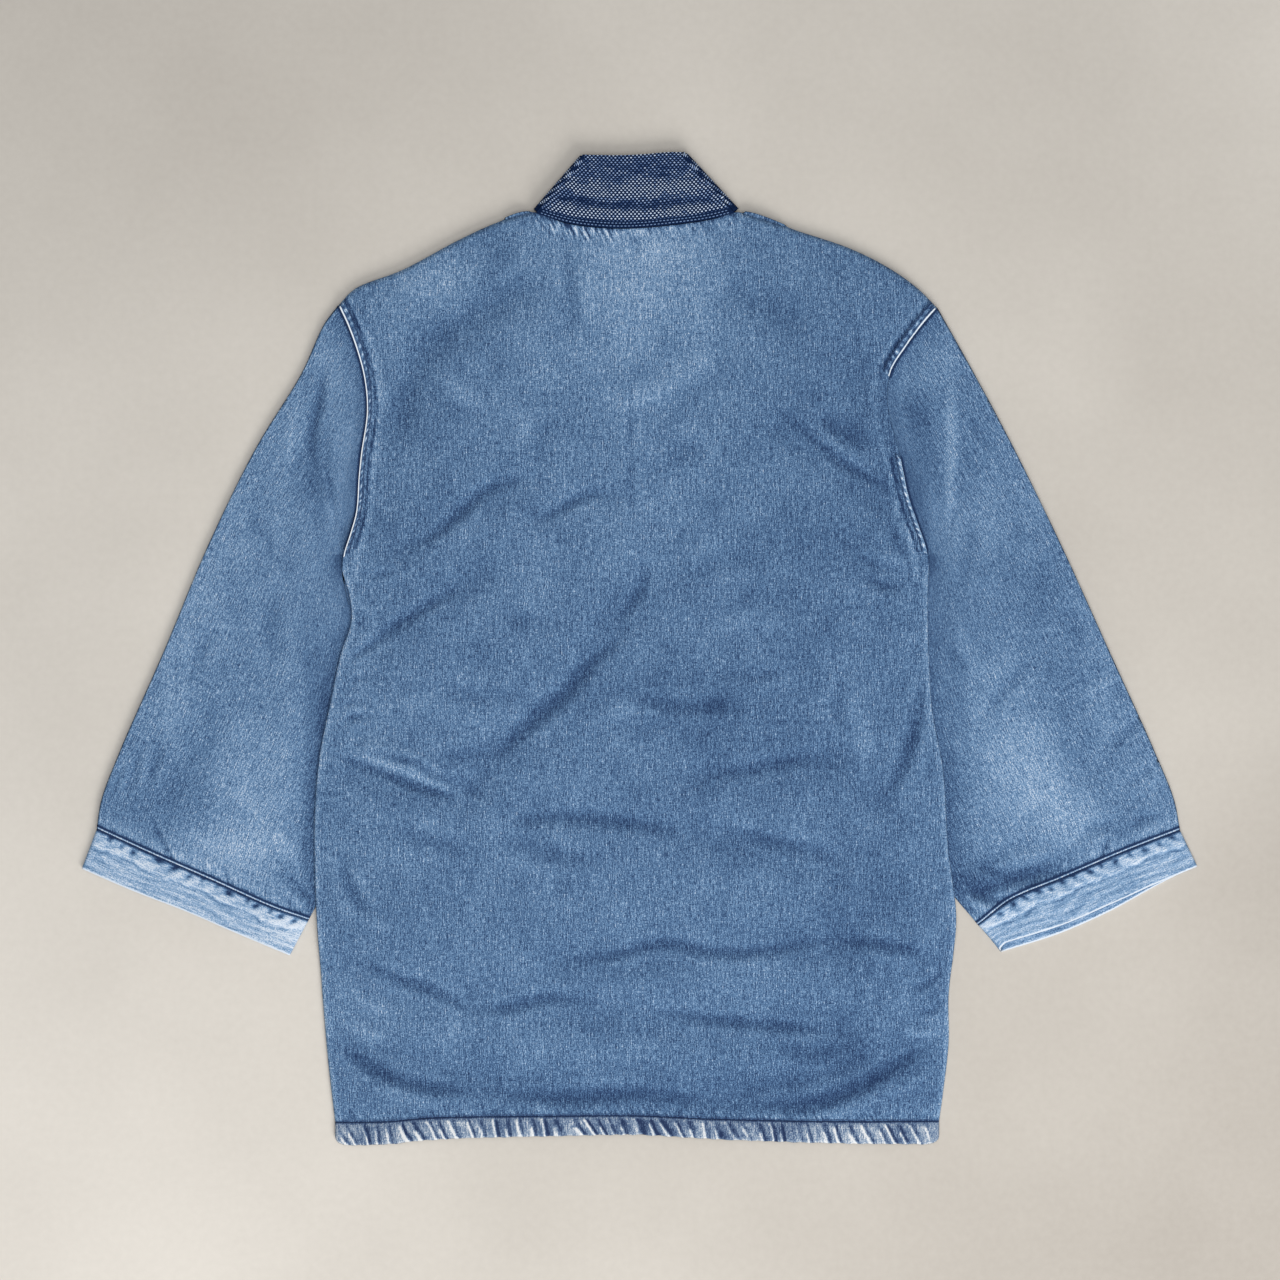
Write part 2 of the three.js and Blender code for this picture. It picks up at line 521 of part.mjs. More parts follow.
// Points round a flattened tube between its outer edge and its inner edge, a distance in from its
// face: over the top, round the inner fold, back underneath and round the outer fold.
function ringPoints({ at, under = at, topHeight, tops }, depth) {
  const inset = (p, q, amount) => {
    const gap = Math.hypot(q[0] - p[0], q[1] - p[1]);
    return [lerp(p[0], q[0], amount / gap), lerp(p[1], q[1], amount / gap)];
  };
  const upper = tops.map(at).map(([x, y]) => [x, y, topHeight(x, y) - depth]);
  const lower = reversed(tops).map(under).map(([x, y]) => [x, y, depth]);
  const bend = (t, near, sense) => {
    const half = topHeight(...at(t)) / 2;
    return [0.5, 1.5, 2.5, 3.5, 4.5].map((k) => {
      const angle = (k / 5) * Math.PI;
      const share = sense > 0 ? k / 5 : 1 - k / 5;
      const edge = [0, 1].map((c) => lerp(at(t)[c], under(t)[c], share));
      const [x, y] = inset(edge, at(near), depth + FOLD_TURN * (1 - Math.sin(angle)));
      return [x, y, half + (half - depth) * sense * Math.cos(angle)];
    });
  };
  return [...upper, ...bend(1, 0.9, 1), ...lower, ...bend(0, 0.1, -1)];
}

// A closed tube of cloth through rings of points.
function tube(sections) {
  const face = (depth) => sections.map((ring) => ringPoints(ring, depth));
  return shell(face(0), face(CLOTH), true);
}

const TUCK_SHARE = 0.94;
const TUCKED_TOP_SHARE = 0.975;
const SLEEVE_SECTIONS = [0, 0.03, 0.07, 0.13, 0.2, 0.28, 0.37, 0.46, 0.55, 0.64, 0.73, 0.82, 0.91, 1];

// The sleeve's edge at the armhole, from the shoulder tip to the armpit and on under the body's side.
function sleeveHead(shape) {
  const armhole = route(shape.armhole);
  const [from, to] = [shape.armhole.at(-1), shape.inner[0]];
  return (t) => {
    const [x, y] = t < TUCK_SHARE ? armhole(t / TUCK_SHARE)
      : [0, 1].map((k) => lerp(from[k], to[k], (t - TUCK_SHARE) / (1 - TUCK_SHARE)));
    return [x + shape.side * ARMHOLE_GAP, y];
  };
}

// The inner edge moves on slowly beside the armpit, where the sleeve's sections fan out.
const slow = (s) => lerp(s * s, s, 0.3);

function makeSleeve(name, shape) {
  const outer = route(shape.outer);
  const inner = route(shape.inner);
  const head = sleeveHead(shape);
  const end = route(shape.cuffSeam);
  const tops = [...reversed(ARMHOLE_ROWS.slice(0, -3)).map((a) => (1 - a) * TUCK_SHARE), TUCKED_TOP_SHARE];
  const sections = SLEEVE_SECTIONS.map((s) => {
    const at = (t) => [0, 1].map((k) => {
      const start = head(t)[k] - lerp(head(0)[k], head(1)[k], t);
      const stop = end(t)[k] - lerp(end(0)[k], end(1)[k], t);
      return lerp(outer(s)[k], inner(slow(s))[k], t)
        + shape.side * ARMHOLE_GAP * (1 - k) * (1 - smoothstep(s, 0, 0.1))
        + start * (1 - smoothstep(s, 0, 0.4)) + stop * smoothstep(s, 0.8, 1);
    });
    return { at, tops, topHeight: (x, y) => sleeveTop(x, y, shape) };
  });
  add(name, tube(shape.side < 0 ? reversed(sections) : sections), COLOURS.sleeve);
}

// A cuff: a flattened band below the cuff seam, puckered in a row along its sewing.
function makeCuff(name, shape) {
  const start = route(shape.cuffSeam);
  const end = route(shape.cuffEnd);
  const columns = CUFF_PUCKERS * 2;
  const tops = Array.from({ length: columns + 1 }, (_, i) => lerp(0.02, 0.98, i / columns));
  const length = Math.hypot(end(0.5)[0] - start(0.5)[0], end(0.5)[1] - start(0.5)[1]);
  const sections = [0, 0.2, 0.45, 1].map((s) => {
    const share = lerp((SEAM_GAP + 0.3) / length, 1, s);
    const at = (t) => [0, 1].map((k) => lerp(start(t)[k], end(t)[k], share));
    const under = (t) => {
      const [x, y] = at(t);
      const longer = shape.underCuff * smoothstep(t, 0, 0.5) * share;
      return [x - shape.side * 0.4 * longer, y - 0.92 * longer];
    };
    const pucker = CUFF_PUCKER_HEIGHT * Math.sin(Math.PI * clamp(s / 0.6, 0, 1)) ** 2;
    const topHeight = (x, y) => {
      const t = (x - at(0)[0]) / (at(1)[0] - at(0)[0]);
      return sleeveTop(x, y, shape) + pucker * Math.cos(t * CUFF_PUCKERS * 2 * Math.PI);
    };
    return { at, under, tops, topHeight };
  });
  add(name, tube(shape.side < 0 ? reversed(sections) : sections), COLOURS.cuff);
}

add("back", wall(backGrid, CLOTH), COLOURS.body);
makeFront("left");
makeFront("right");
makeBackHem();
makeFrontHem("left");
makeFrontHem("right");
makeCollar();
makeArmholeSeam("armhole_seam_left", "left", 0.5, 10);
makeArmholeSeam("armhole_seam_right_upper", "right", 7, 10);
makeArmholeSeam("armhole_seam_right_lower", "right", 0.5, 4);
makeSleeve("sleeve_left", SLEEVES.left);
makeSleeve("sleeve_right", SLEEVES.right);
makeCuff("cuff_left", SLEEVES.left);
makeCuff("cuff_right", SLEEVES.right);

export default jacket;
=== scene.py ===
import bpy
import math
import numpy as np
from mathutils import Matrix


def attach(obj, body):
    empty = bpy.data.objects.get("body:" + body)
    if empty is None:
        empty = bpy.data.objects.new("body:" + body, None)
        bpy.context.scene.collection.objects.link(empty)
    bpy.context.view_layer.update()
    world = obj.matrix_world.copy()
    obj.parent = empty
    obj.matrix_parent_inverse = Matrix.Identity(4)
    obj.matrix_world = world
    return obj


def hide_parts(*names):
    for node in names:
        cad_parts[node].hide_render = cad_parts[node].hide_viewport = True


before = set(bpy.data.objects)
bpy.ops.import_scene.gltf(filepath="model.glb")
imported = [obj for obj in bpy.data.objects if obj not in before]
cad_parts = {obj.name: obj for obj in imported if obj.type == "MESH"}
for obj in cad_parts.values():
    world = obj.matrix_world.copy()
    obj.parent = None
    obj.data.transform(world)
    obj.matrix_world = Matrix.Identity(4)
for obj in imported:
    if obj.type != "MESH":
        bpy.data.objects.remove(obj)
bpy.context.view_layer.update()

# A washed denim kimono jacket laid face down and flat, seen from straight above.
# Sizes below are millimetres; put_mesh turns them into metres. Left and right are the picture's.

# Cloth thicknesses, and the narrow gaps that the pieces keep at their seams.
CLOTH, HEM_CLOTH, BAND_CLOTH = 1.2, 1.6, 2.4
SEAM_GAP, ARMHOLE_GAP, COLLAR_GAP = 0.12, 0.2, 0.4
# Heights of the outer surface above the floor.
BODY_TOP, SHOULDER_TOP, ARMHOLE_TOP, SLEEVE_TOP, TUCKED_TOP, TIP_TOP = 10.8, 9.6, 6.2, 5.8, 3.6, 8
# How wide a fold turns, and how the body rises over the sleeves' tucked edges.
FOLD_TURN, TUCK_CLEAR, TUCK_EASE, LIFT = 2.4, 12, 28, 3.95
# Foot of the fronts, the hems and their ropes, the collar and the body.
FRONT_FOOT_Y, HEM_DEPTH, HEM_SPREAD, FRONT_HEM_DEPTH, HEM_ROPES, HEM_ROPE_SLANT = -392, 16, 8, 14, 46, 7
CENTRE_GAP, COLLAR_WIDTH, COLLAR_TOP, COLLAR_CLEARANCE, COLLAR_BOTTOM = 6, 52, 11, 0.6, -405
BODY_WIDTH, FRONT_WIDTH = 510, 195
# How far the body rises inwards from its sides, and how wide its edges turn down.
SIDE_SLOPE, SHOULDER_SLOPE, SIDE_TURN, SHOULDER_TURN = 75, 60, 4, 5
# Share of an edge below the armpit, share of a sleeve's head on its armhole, and the least upright
# part of a normal that isn't laid level.
SIDE_SHARE, TUCK_SHARE, LEAST_UPRIGHT = 0.66, 0.94, 0.93
# The side's freedom from the sleeve fades out between these heights of y.
BELOW_ARMPIT, BESIDE_ARMPIT = 66, 76
# Felled armhole strips, and how far in from the armhole their two rows of stitches run.
STRIP_WIDTH, STRIP_CLOTH, STRIP_STITCHES = 7, 1, (2.0, 6.2)
# Length of cloth down a sleeve, and the collar's depth on its map.
SLEEVE_LENGTH, COLLAR_DEPTH = 480, 55
# Rows of the collar over the back of the neck and round each of its folds.
NECK_ROWS, FOLD_ROWS = 150, 25
# Corners of the back's hem and the front's: how far along each they round off, and how deep.
BACK_HEM_CORNER, FRONT_HEM_CORNER = (13, 7), (10, 6)
# The armhole seams lie farther out than this, and the stretches of them that show run from and to
# these heights of y. The sleeves lie tucked under the body's sides along TUCKED_SPAN.
ARMHOLES_FROM_X = 150
SEEN_SEAMS = {"left": [(84, 420)], "right": [(82, 162), (228, 420)]}
TUCKED_SPAN = (-235, 80)
# Height of y at the middle of the neck seam, and the sideways lean of the puckers below it.
NECK_Y, NECK_PUCKER_LEAN = 355, 0.55
# Weave of the collar: pitch of its dashes along the band and of its rows across it.
DASH_PITCH, ROW_PITCH = 3.3, 1.65

# Outline of the back, each point an x and a y.
SHOULDER_LEFT = [(-253, 289), (-239, 303), (-199, 319), (-152, 344), (-119, 359), (-92, 367)]
NECK_SEAM = [(-92, 367), (-62, 357.5), (-38, 354), (-8, 353), (37, 357), (62, 361), (85, 367)]
SHOULDER_RIGHT = [(85, 367), (132, 352), (179, 336), (212, 319), (234, 303), (250, 287)]
ARMHOLES = {
    "left": [(-253, 289), (-245, 272), (-237, 250), (-231, 226), (-229, 200), (-234, 164),
             (-236, 144), (-238, 116), (-243, 97), (-248, 81), (-250, 66)],
    "right": [(250, 287), (237, 272), (223, 253), (211, 233), (208, 210), (213, 185),
              (219, 162), (226, 129), (234, 105), (241, 84), (243, 68)],
}
SIDES = {
    "left": [(-250, 66), (-244, 46), (-242, 24), (-251, -4), (-260, -46), (-269, -91),
             (-273, -143), (-272, -210), (-268, -273), (-262, -345), (-256, -397)],
    "right": [(243, 68), (242, 36), (243, -5), (246, -52), (255, -101), (259, -164),
              (266, -223), (264, -255), (260, -290), (260, -330), (255, -375), (252, -396)],
}
HEM_LINE = [(-256, -397), (-214, -396), (-176, -392.5), (-67, -391), (0, -391), (60, -393.5),
            (135, -395), (252, -396)]

# Each sleeve's outer fold, tucked inner fold, cuff seam and cuff edge.
SLEEVE_OUTER = {
    "left": [(-253, 289), (-265, 273), (-284, 232), (-323, 168), (-364, 84), (-399, 0),
             (-436, -84), (-452, -126), (-456, -150)],
    "right": [(250, 287), (258, 273), (281, 232), (315, 168), (356, 84), (394, 0),
              (432, -84), (449, -126), (454, -151)],
}
SLEEVE_INNER = {
    "left": [(-246, 56), (-241, 36), (-234, 8), (-239, -30), (-247, -70), (-253, -110),
             (-257, -152), (-262, -194), (-278, -227)],
    "right": [(239, 57), (235, 38), (229, 8), (231, -30), (236, -70), (242, -110),
              (247, -152), (256, -194), (284, -231)],
}
CUFF_SEAM = {
    "left": [(-456, -150), (-408, -172), (-360, -193), (-311, -215), (-278, -227)],
    "right": [(454, -151), (405, -170), (356, -191), (311, -210), (284, -231)],
}
CUFF_END = {
    "left": [(-469, -184), (-425, -203), (-381, -220), (-337, -239), (-294, -257)],
    "right": [(469, -182), (431, -198), (400, -212), (356, -231), (305, -247)],
}
UNDER_CUFF = {"left": 0, "right": 9}
SIGN = {"left": -1, "right": 1}

# Height where the cloth turns under at each side: y, top, lift.
SIDE_LEVELS = [(-400, 5.4, 0), (-272, 5.4, 0), (-234, 7.6, LIFT), (92, 7.6, LIFT),
               (126, ARMHOLE_TOP, 0), (245, ARMHOLE_TOP, 0), (290, 8, 0), (420, 8, 0)]

# Folds that the jacket lies in. Each row: three points of its line, half width, rise or dip.
BACK_FOLDS = [
    ((-100, 302), (-176, 252), (-205, 193), 15, -2.4),
    ((-190, 305), (-205, 280), (-215, 235), 20, 1.2),
    ((-200, 84), (-150, 118), (-96, 142), 13, -1.6),
    ((-84, 110), (-50, 128), (-16, 130), 11, -1.3),
    ((-222, 8), (-165, 44), (-134, 62), 13, -1.6),
    ((-134, -101), (-50, -18), (-4, 50), 18, -2.4),
    ((-6, 60), (-8, 140), (-6, 230), 14, 0.9),
    ((-228, -83), (-206, -90), (-184, -97), 7, 2),
    ((-240, -98), (-190, -116), (-142, -122), 12, -2),
    ((51, -105), (105, -100), (160, -93), 14, -1.6),
    ((-84, -139), (30, -152), (160, -177), 16, -1.8),
    ((202, -126), (230, -76), (240, -9), 14, -1.6),
    ((-67, -261), (60, -252), (177, -244), 17, -1.8),
    ((-200, -286), (-80, -300), (177, -320), 20, -2),
    ((-248, -338), (10, -380), (240, -338), 16, -2.2),
    ((118, 184), (160, 160), (210, 126), 13, -1.6),
    ((177, 92), (205, 66), (232, 46), 12, -1.4),
    ((-62, 344), (-60, 305), (-58, 268), 9, -0.7),
    ((84, 300), (105, 290), (126, 280), 16, -1.4),
    ((196, 210), (206, 170), (208, 150), 12, 1.4),
]
SLEEVE_FOLDS = [
    ((-272, 218), (-278, 160), (-262, 128), 13, -1.1),
    ((-400, -136), (-385, -110), (-360, -60), 15, -1),
    ((-330, 40), (-320, -40), (-315, -110), 18, -0.8),
    ((262, 208), (262, 140), (246, 30), 10, 0.4),
    ((282, -200), (315, -188), (353, -181), 12, -1.2),
    ((345, 60), (352, -20), (372, -100), 18, -0.9),
]

# Smaller creases on the back: points of the line, half width in the middle, rise or dip.
BACK_CREASES = [
    ([(-196, 84), (-163, 103), (-141, 124), (-118, 139), (-84, 143)], 4.5, -0.75),
    ([(-86, 106), (-66, 118), (-44, 130), (-22, 130)], 4, -0.6),
    ([(-232, 0), (-205, 20), (-172, 40), (-148, 52)], 4, -0.6),
    ([(-128, -96), (-92, -62), (-62, -36), (-38, -8), (-12, 12)], 6, -0.9),
    ([(-231, -83), (-206, -90), (-184, -97), (-168, -110)], 2.8, -0.9),
    ([(-180, -88), (-152, -90), (-118, -84)], 6, -0.4),
    ([(-262, -86), (-244, -93), (-210, -106), (-188, -115), (-160, -121), (-138, -122)], 3, -1.3),
    ([(-240, -88), (-212, -97), (-186, -106), (-160, -118), (-118, -134)], 3.4, 0.9),
    ([(-104, -144), (-66, -140), (-20, -144), (38, -152)], 5, -0.7),
    ([(60, -148), (102, -158), (148, -170), (176, -182)], 5, -0.5),
    ([(54, -104), (90, -101), (122, -94), (158, -90)], 5, -0.6),
    ([(0, -42), (38, -48), (68, -46), (96, -52)], 6, -0.5),
    ([(62, -18), (98, -22), (130, -18)], 5, -0.35),
    ([(-52, -64), (-16, -52), (24, -56)], 7, 0.4),
    ([(-250, -62), (-236, -56), (-222, -58)], 3, -0.7),
    ([(-252, -48), (-240, -44), (-226, -47)], 2.6, -0.5),
    ([(-248, -30), (-236, -24), (-220, -22)], 2.6, -0.45),
    ([(-244, -10), (-232, 0), (-214, 8)], 3, -0.6),
    ([(-240, 44), (-232, 36), (-220, 30)], 3, 0.5),
    ([(-236, 66), (-222, 62), (-202, 68)], 3, -0.5),
    ([(-62, 346), (-60, 318), (-57, 292), (-59, 262)], 5, -0.32),
    ([(-46, 330), (-42, 300), (-44, 270)], 6, 0.15),
    ([(-4, 352), (-3, 338), (-4, 322)], 3, -0.5),
    ([(-6, 232), (-8, 190), (-7, 140), (-5, 96)], 3.4, -0.45),
    ([(-1, 82), (4, 60), (-6, 40), (-20, 22)], 4.5, -0.6),
    ([(110, 206), (138, 184), (166, 160), (196, 142), (218, 128)], 4, -0.7),
    ([(146, 196), (172, 182), (196, 168)], 8, -0.7),
    ([(184, 62), (204, 54), (222, 50)], 3.6, -0.7),
    ([(180, 90), (202, 78), (226, 72)], 4, 0.5),
    ([(206, 108), (216, 92), (226, 76)], 5, -0.6),
    ([(208, -124), (222, -96), (232, -62), (238, -24)], 5, -0.9),
    ([(172, -20), (166, -44), (170, -66)], 6, -0.5),
    ([(184, -46), (190, -74), (186, -100)], 6, 0.4),
    ([(-120, -158), (-78, -170), (-30, -178)], 7, -0.5),
    ([(-212, -150), (-178, -160), (-132, -172)], 6, -0.45),
    ([(-250, -170), (-244, -196), (-226, -224), (-216, -230)], 5, -0.8),
    ([(-236, -214), (-222, -228), (-204, -238)], 4.5, 0.6),
    ([(-70, -262), (-20, -256), (20, -246), (64, -254), (112, -252), (168, -240)], 4.5, -0.8),
    ([(166, -244), (196, -246), (226, -252), (246, -262)], 5, -0.8),
    ([(-230, -262), (-208, -274), (-178, -284), (-142, -302)], 4.5, -0.9),
    ([(-142, -302), (-110, -300), (-72, -292), (-32, -298)], 4.5, -0.8),
    ([(4, -302), (60, -310), (122, -316), (172, -322)], 4.5, -0.8),
    ([(-246, -282), (-230, -296), (-206, -304)], 4, 0.5),
    ([(112, -334), (148, -338), (178, -332)], 6, -0.5),
    ([(-256, -328), (-230, -348), (-192, -364), (-140, -372)], 5.5, -1.1),
    ([(-120, -372), (-60, -376), (0, -372), (60, -380)], 5, -0.8),
    ([(90, -382), (150, -380), (198, -360), (240, -334)], 6, -1.2),
    ([(-250, -312), (-232, -322), (-206, -330)], 5, 0.6),
    ([(254, -270), (240, -282), (226, -286)], 3, -0.7),
    ([(256, -296), (244, -304), (228, -306)], 3, -0.6),
    ([(252, -318), (238, -322), (220, -318)], 4, 0.6),
    ([(246, -352), (226, -366), (204, -374)], 4, 0.5),
    ([(-170, 236), (-150, 214), (-128, 204)], 8, 0.5),
    ([(-30, 206), (10, 216), (44, 236), (66, 256)], 9, 0.4),
    ([(-120, 30), (-90, 22), (-62, 26)], 7, -0.35),
    ([(-170, -30), (-132, -40), (-96, -38)], 7, -0.35),
    ([(40, 60), (70, 74), (104, 76)], 8, -0.3),
    ([(60, 20), (96, 26), (128, 22)], 8, 0.3),
    ([(-70, 200), (-84, 176), (-80, 150)], 8, -0.3),
    ([(20, 150), (40, 166), (64, 172)], 7, -0.3),
]
# Smaller creases on the sleeves' upper layers, in the same columns.
SLEEVE_CREASES = [
    ([(-264, 240), (-270, 206), (-276, 176), (-272, 148)], 4, -0.7),
    ([(-262, 150), (-258, 132), (-254, 116), (-256, 98)], 3, -0.8),
    ([(-256, 200), (-254, 178), (-256, 158)], 4, 0.5),
    ([(-286, 210), (-292, 180), (-296, 150)], 6, 0.4),
    ([(-411, -140), (-403, -157), (-390, -178)], 2.4, -1.0),
    ([(-402, -156), (-394, -168), (-386, -180)], 1.9, 0.7),
    ([(-351, -182), (-346, -191), (-341, -199)], 2.0, -0.9),
    ([(-300, -206), (-292, -215), (-285, -222)], 2.2, -0.9),
    ([(-352, -188), (-360, -180), (-372, -176)], 2.4, 0.5),
    ([(-430, -120), (-424, -100), (-420, -84)], 4, -0.5),
    ([(-440, -118), (-436, -102), (-432, -90)], 2.6, -0.4),
    ([(-412, -118), (-408, -96), (-400, -78)], 4, -0.5),
    ([(-300, 60), (-310, 20), (-306, -20)], 8, -0.4),
    ([(-300, -186), (-284, -204), (-272, -214)], 4, -0.7),
    ([(-310, -150), (-296, -166), (-288, -184)], 5, 0.5),
    ([(-376, -20), (-366, 4), (-352, 20)], 6, -0.3),
    ([(-330, 120), (-316, 100), (-308, 76)], 6, -0.3),
    ([(264, 236), (262, 206), (264, 170), (262, 130), (256, 96)], 4, 0.5),
    ([(278, 196), (288, 178), (302, 168)], 4, -0.35),
    ([(286, 220), (296, 206), (310, 196)], 4, 0.3),
    ([(278, 118), (276, 80), (270, 44)], 6, -0.4),
    ([(262, 40), (270, 10), (282, -16)], 6, 0.4),
    ([(288, -60), (310, -30), (330, -6)], 6, -0.35),
    ([(392, -84), (410, -70), (424, -52)], 5, -0.4),
    ([(404, -116), (424, -104), (438, -92)], 4, -0.4),
    ([(372, -40), (392, -28), (410, -20)], 5, 0.3),
    ([(276, -206), (300, -198), (330, -190), (356, -184)], 5, -1),
    ([(290, -186), (318, -176), (350, -170)], 5, 0.6),
    ([(366, -160), (382, -150), (400, -148)], 5, -0.5),
    ([(412, -152), (424, -142), (436, -140)], 4, -0.6),
    ([(386, -176), (392, -164), (396, -156)], 2.4, -0.6),
    ([(328, -200), (334, -190), (336, -180)], 2.4, -0.6),
    ([(350, 40), (366, 20), (376, -6)], 7, -0.3),
    ([(274, -196), (286, -206), (300, -210), (318, -206)], 4.5, -1.2),
    ([(276, -182), (292, -192), (314, -196)], 3.5, 0.7),
    ([(270, -214), (284, -220), (296, -222)], 2.6, -0.8),
]


def mix(a, b, t):
    """a where t is 0, b where t is 1, and an even blend between."""
    return a + (b - a) * t


def smooth(x, low, high):
    """0 below low, 1 above high, 3t^2 - 2t^3 between."""
    t = np.clip((x - low) / (high - low), 0, 1)
    return t * t * (3 - 2 * t)


def bell(x, middle, width):
    """exp(-((x - middle) / width)^2)."""
    return np.exp(-((x - middle) / width) ** 2)


def route(points):
    """Smooth curve through the points, read by its share of the length: each stretch is the
    centripetal Catmull-Rom cubic, and the length is added up over 32 steps a stretch."""
    p = np.asarray(points, float)
    p = np.vstack([2 * p[0] - p[1], p, 2 * p[-1] - p[-2]])
    gap = (np.diff(p, axis=0) ** 2).sum(1) ** 0.25
    x0, x1, x2, x3 = p[:-3], p[1:-2], p[2:-1], p[3:]
    d0, d1, d2 = (g[:, None] for g in (gap[:-2], gap[1:-1], gap[2:]))
    m1 = ((x1 - x0) / d0 - (x2 - x0) / (d0 + d1) + (x2 - x1) / d1) * d1
    m2 = ((x2 - x1) / d1 - (x3 - x1) / (d1 + d2) + (x3 - x2) / d2) * d1
    t = np.linspace(0, 1, 33)[None, :, None]
    cubic = ((2 * t**3 - 3 * t**2 + 1) * x1[:, None] + (t**3 - 2 * t**2 + t) * m1[:, None]
             + (3 * t**2 - 2 * t**3) * x2[:, None] + (t**3 - t**2) * m2[:, None])
    fine = np.vstack([cubic[:, :-1].reshape(-1, p.shape[1]), p[-2:-1]])
    length = np.r_[0, np.cumsum(np.sqrt((np.diff(fine, axis=0) ** 2).sum(1)))]
    length /= length[-1]
    return lambda s: np.stack([np.interp(s, length, fine[:, k]) for k in range(fine.shape[1])], -1)


def sampled(points, count=40):
    """Even samples along the smooth curve through the points."""
    return route(points)(np.linspace(0, 1, count + 1))


def nearest(line, x, y):
    """Distance from each point to a plane line of samples, and the share of the line at the foot."""
    best, share = np.full(np.shape(x), np.inf), np.zeros(np.shape(x))
    steps = len(line) - 1
    for k in range(steps):
        (ax, ay), (bx, by) = line[k], line[k + 1]
        length = max((bx - ax) ** 2 + (by - ay) ** 2, 1e-9)
        along = ((x - ax) * (bx - ax) + (y - ay) * (by - ay)) / length
        along = np.clip(along, 0, 1)
        d = np.hypot(x - mix(ax, bx, along), y - mix(ay, by, along))
        share = np.where(d < best, (k + along) / steps, share)
        best = np.minimum(best, d)
    return best, share


def distance(line, x, y):
    """Distance from each point to a plane line of samples."""
    return nearest(line, x, y)[0]


def least_distance(lines, x, y):
    """Distance from each point to the nearest of several lines."""
    return np.min([distance(line, x, y) for line in lines], axis=0)


def folds(table, x, y):
    """Sum over the table of rise * exp(-(distance / width)^2)."""
    return sum(rise * bell(distance(sampled(line, 12), x, y), 0, width)
               for *line, width, rise in table)


def creases(table, x, y):
    """Sum over the table of a bell across each line, with a low ridge pushed up on both its sides.
    The line is widest and deepest in the middle, and fades to nothing at both ends."""
    total = np.zeros(np.shape(x))
    for line, width, rise in table:
        near, share = nearest(sampled(line, 16), x, y)
        belly = np.sin(np.pi * np.clip(share, 0.001, 0.999)) ** 0.7
        w = width * (0.55 + 0.6 * belly)
        total += 1.7 * rise * belly * (bell(near, 0, 0.85 * w) - 0.35 * bell(near, 1.9 * w, 0.8 * w))
    return total


def ripples(share, count, seed, sharp=1.0):
    """Uneven waves along a share from 0 to 1, about count of them, from 0 to 1 in height: a cosine
    whose phase and height wander by smoothed random steps."""
    rng = np.random.default_rng(seed)
    knots = np.linspace(0, 1, count + 2)
    phase = np.interp(share, knots, rng.uniform(-0.32, 0.32, count + 2))
    height = np.interp(share, knots, rng.uniform(0.35, 1, count + 2))
    wave = 0.5 + 0.5 * np.cos(2 * np.pi * (share * count + phase))
    return height * wave ** sharp


# The seams and edges as samples, for distances.
HEM_SAMPLES = sampled(HEM_LINE)
SIDE_LINES = {k: sampled(v) for k, v in SIDES.items()}
ARMHOLE_LINES = {k: sampled(v) for k, v in ARMHOLES.items()}
SHOULDER_LINES = {"left": sampled(SHOULDER_LEFT), "right": sampled(SHOULDER_RIGHT)}
NECK_LINE = sampled(NECK_SEAM)
TOP_LINE = np.vstack([SHOULDER_LINES["left"], NECK_LINE, SHOULDER_LINES["right"]])
TUCKED_LINES = {k: sampled(v) for k, v in SLEEVE_INNER.items()}
EDGE_LINES = (*SIDE_LINES.values(), *ARMHOLE_LINES.values())


def side_level(name, y):
    """The named level at height y, eased between the rows of the side table."""
    k = {"top": 1, "lift": 2}[name]
    total = SIDE_LEVELS[0][k]
    for low, high in zip(SIDE_LEVELS[:-1], SIDE_LEVELS[1:]):
        total = total + (high[k] - low[k]) * smooth(y, low[0], high[0])
    return total


def seam_level(y):
    """Where the side seam lies, halfway between the body's lower and upper levels."""
    return 0.5 * (side_level("lift", y) + side_level("top", y))


def turn(d, reach, drop):
    """Drop of an edge that turns under: a quarter of an ellipse, reach wide and drop deep."""
    inward = np.clip(1 - d / reach, 0, 1)
    return drop * (1 - np.sqrt(1 - inward ** 2))


def free_side(y):
    """1 below the armpit, where the side is free of the sleeve, and 0 above it."""
    return 1 - smooth(y, BELOW_ARMPIT, BESIDE_ARMPIT)


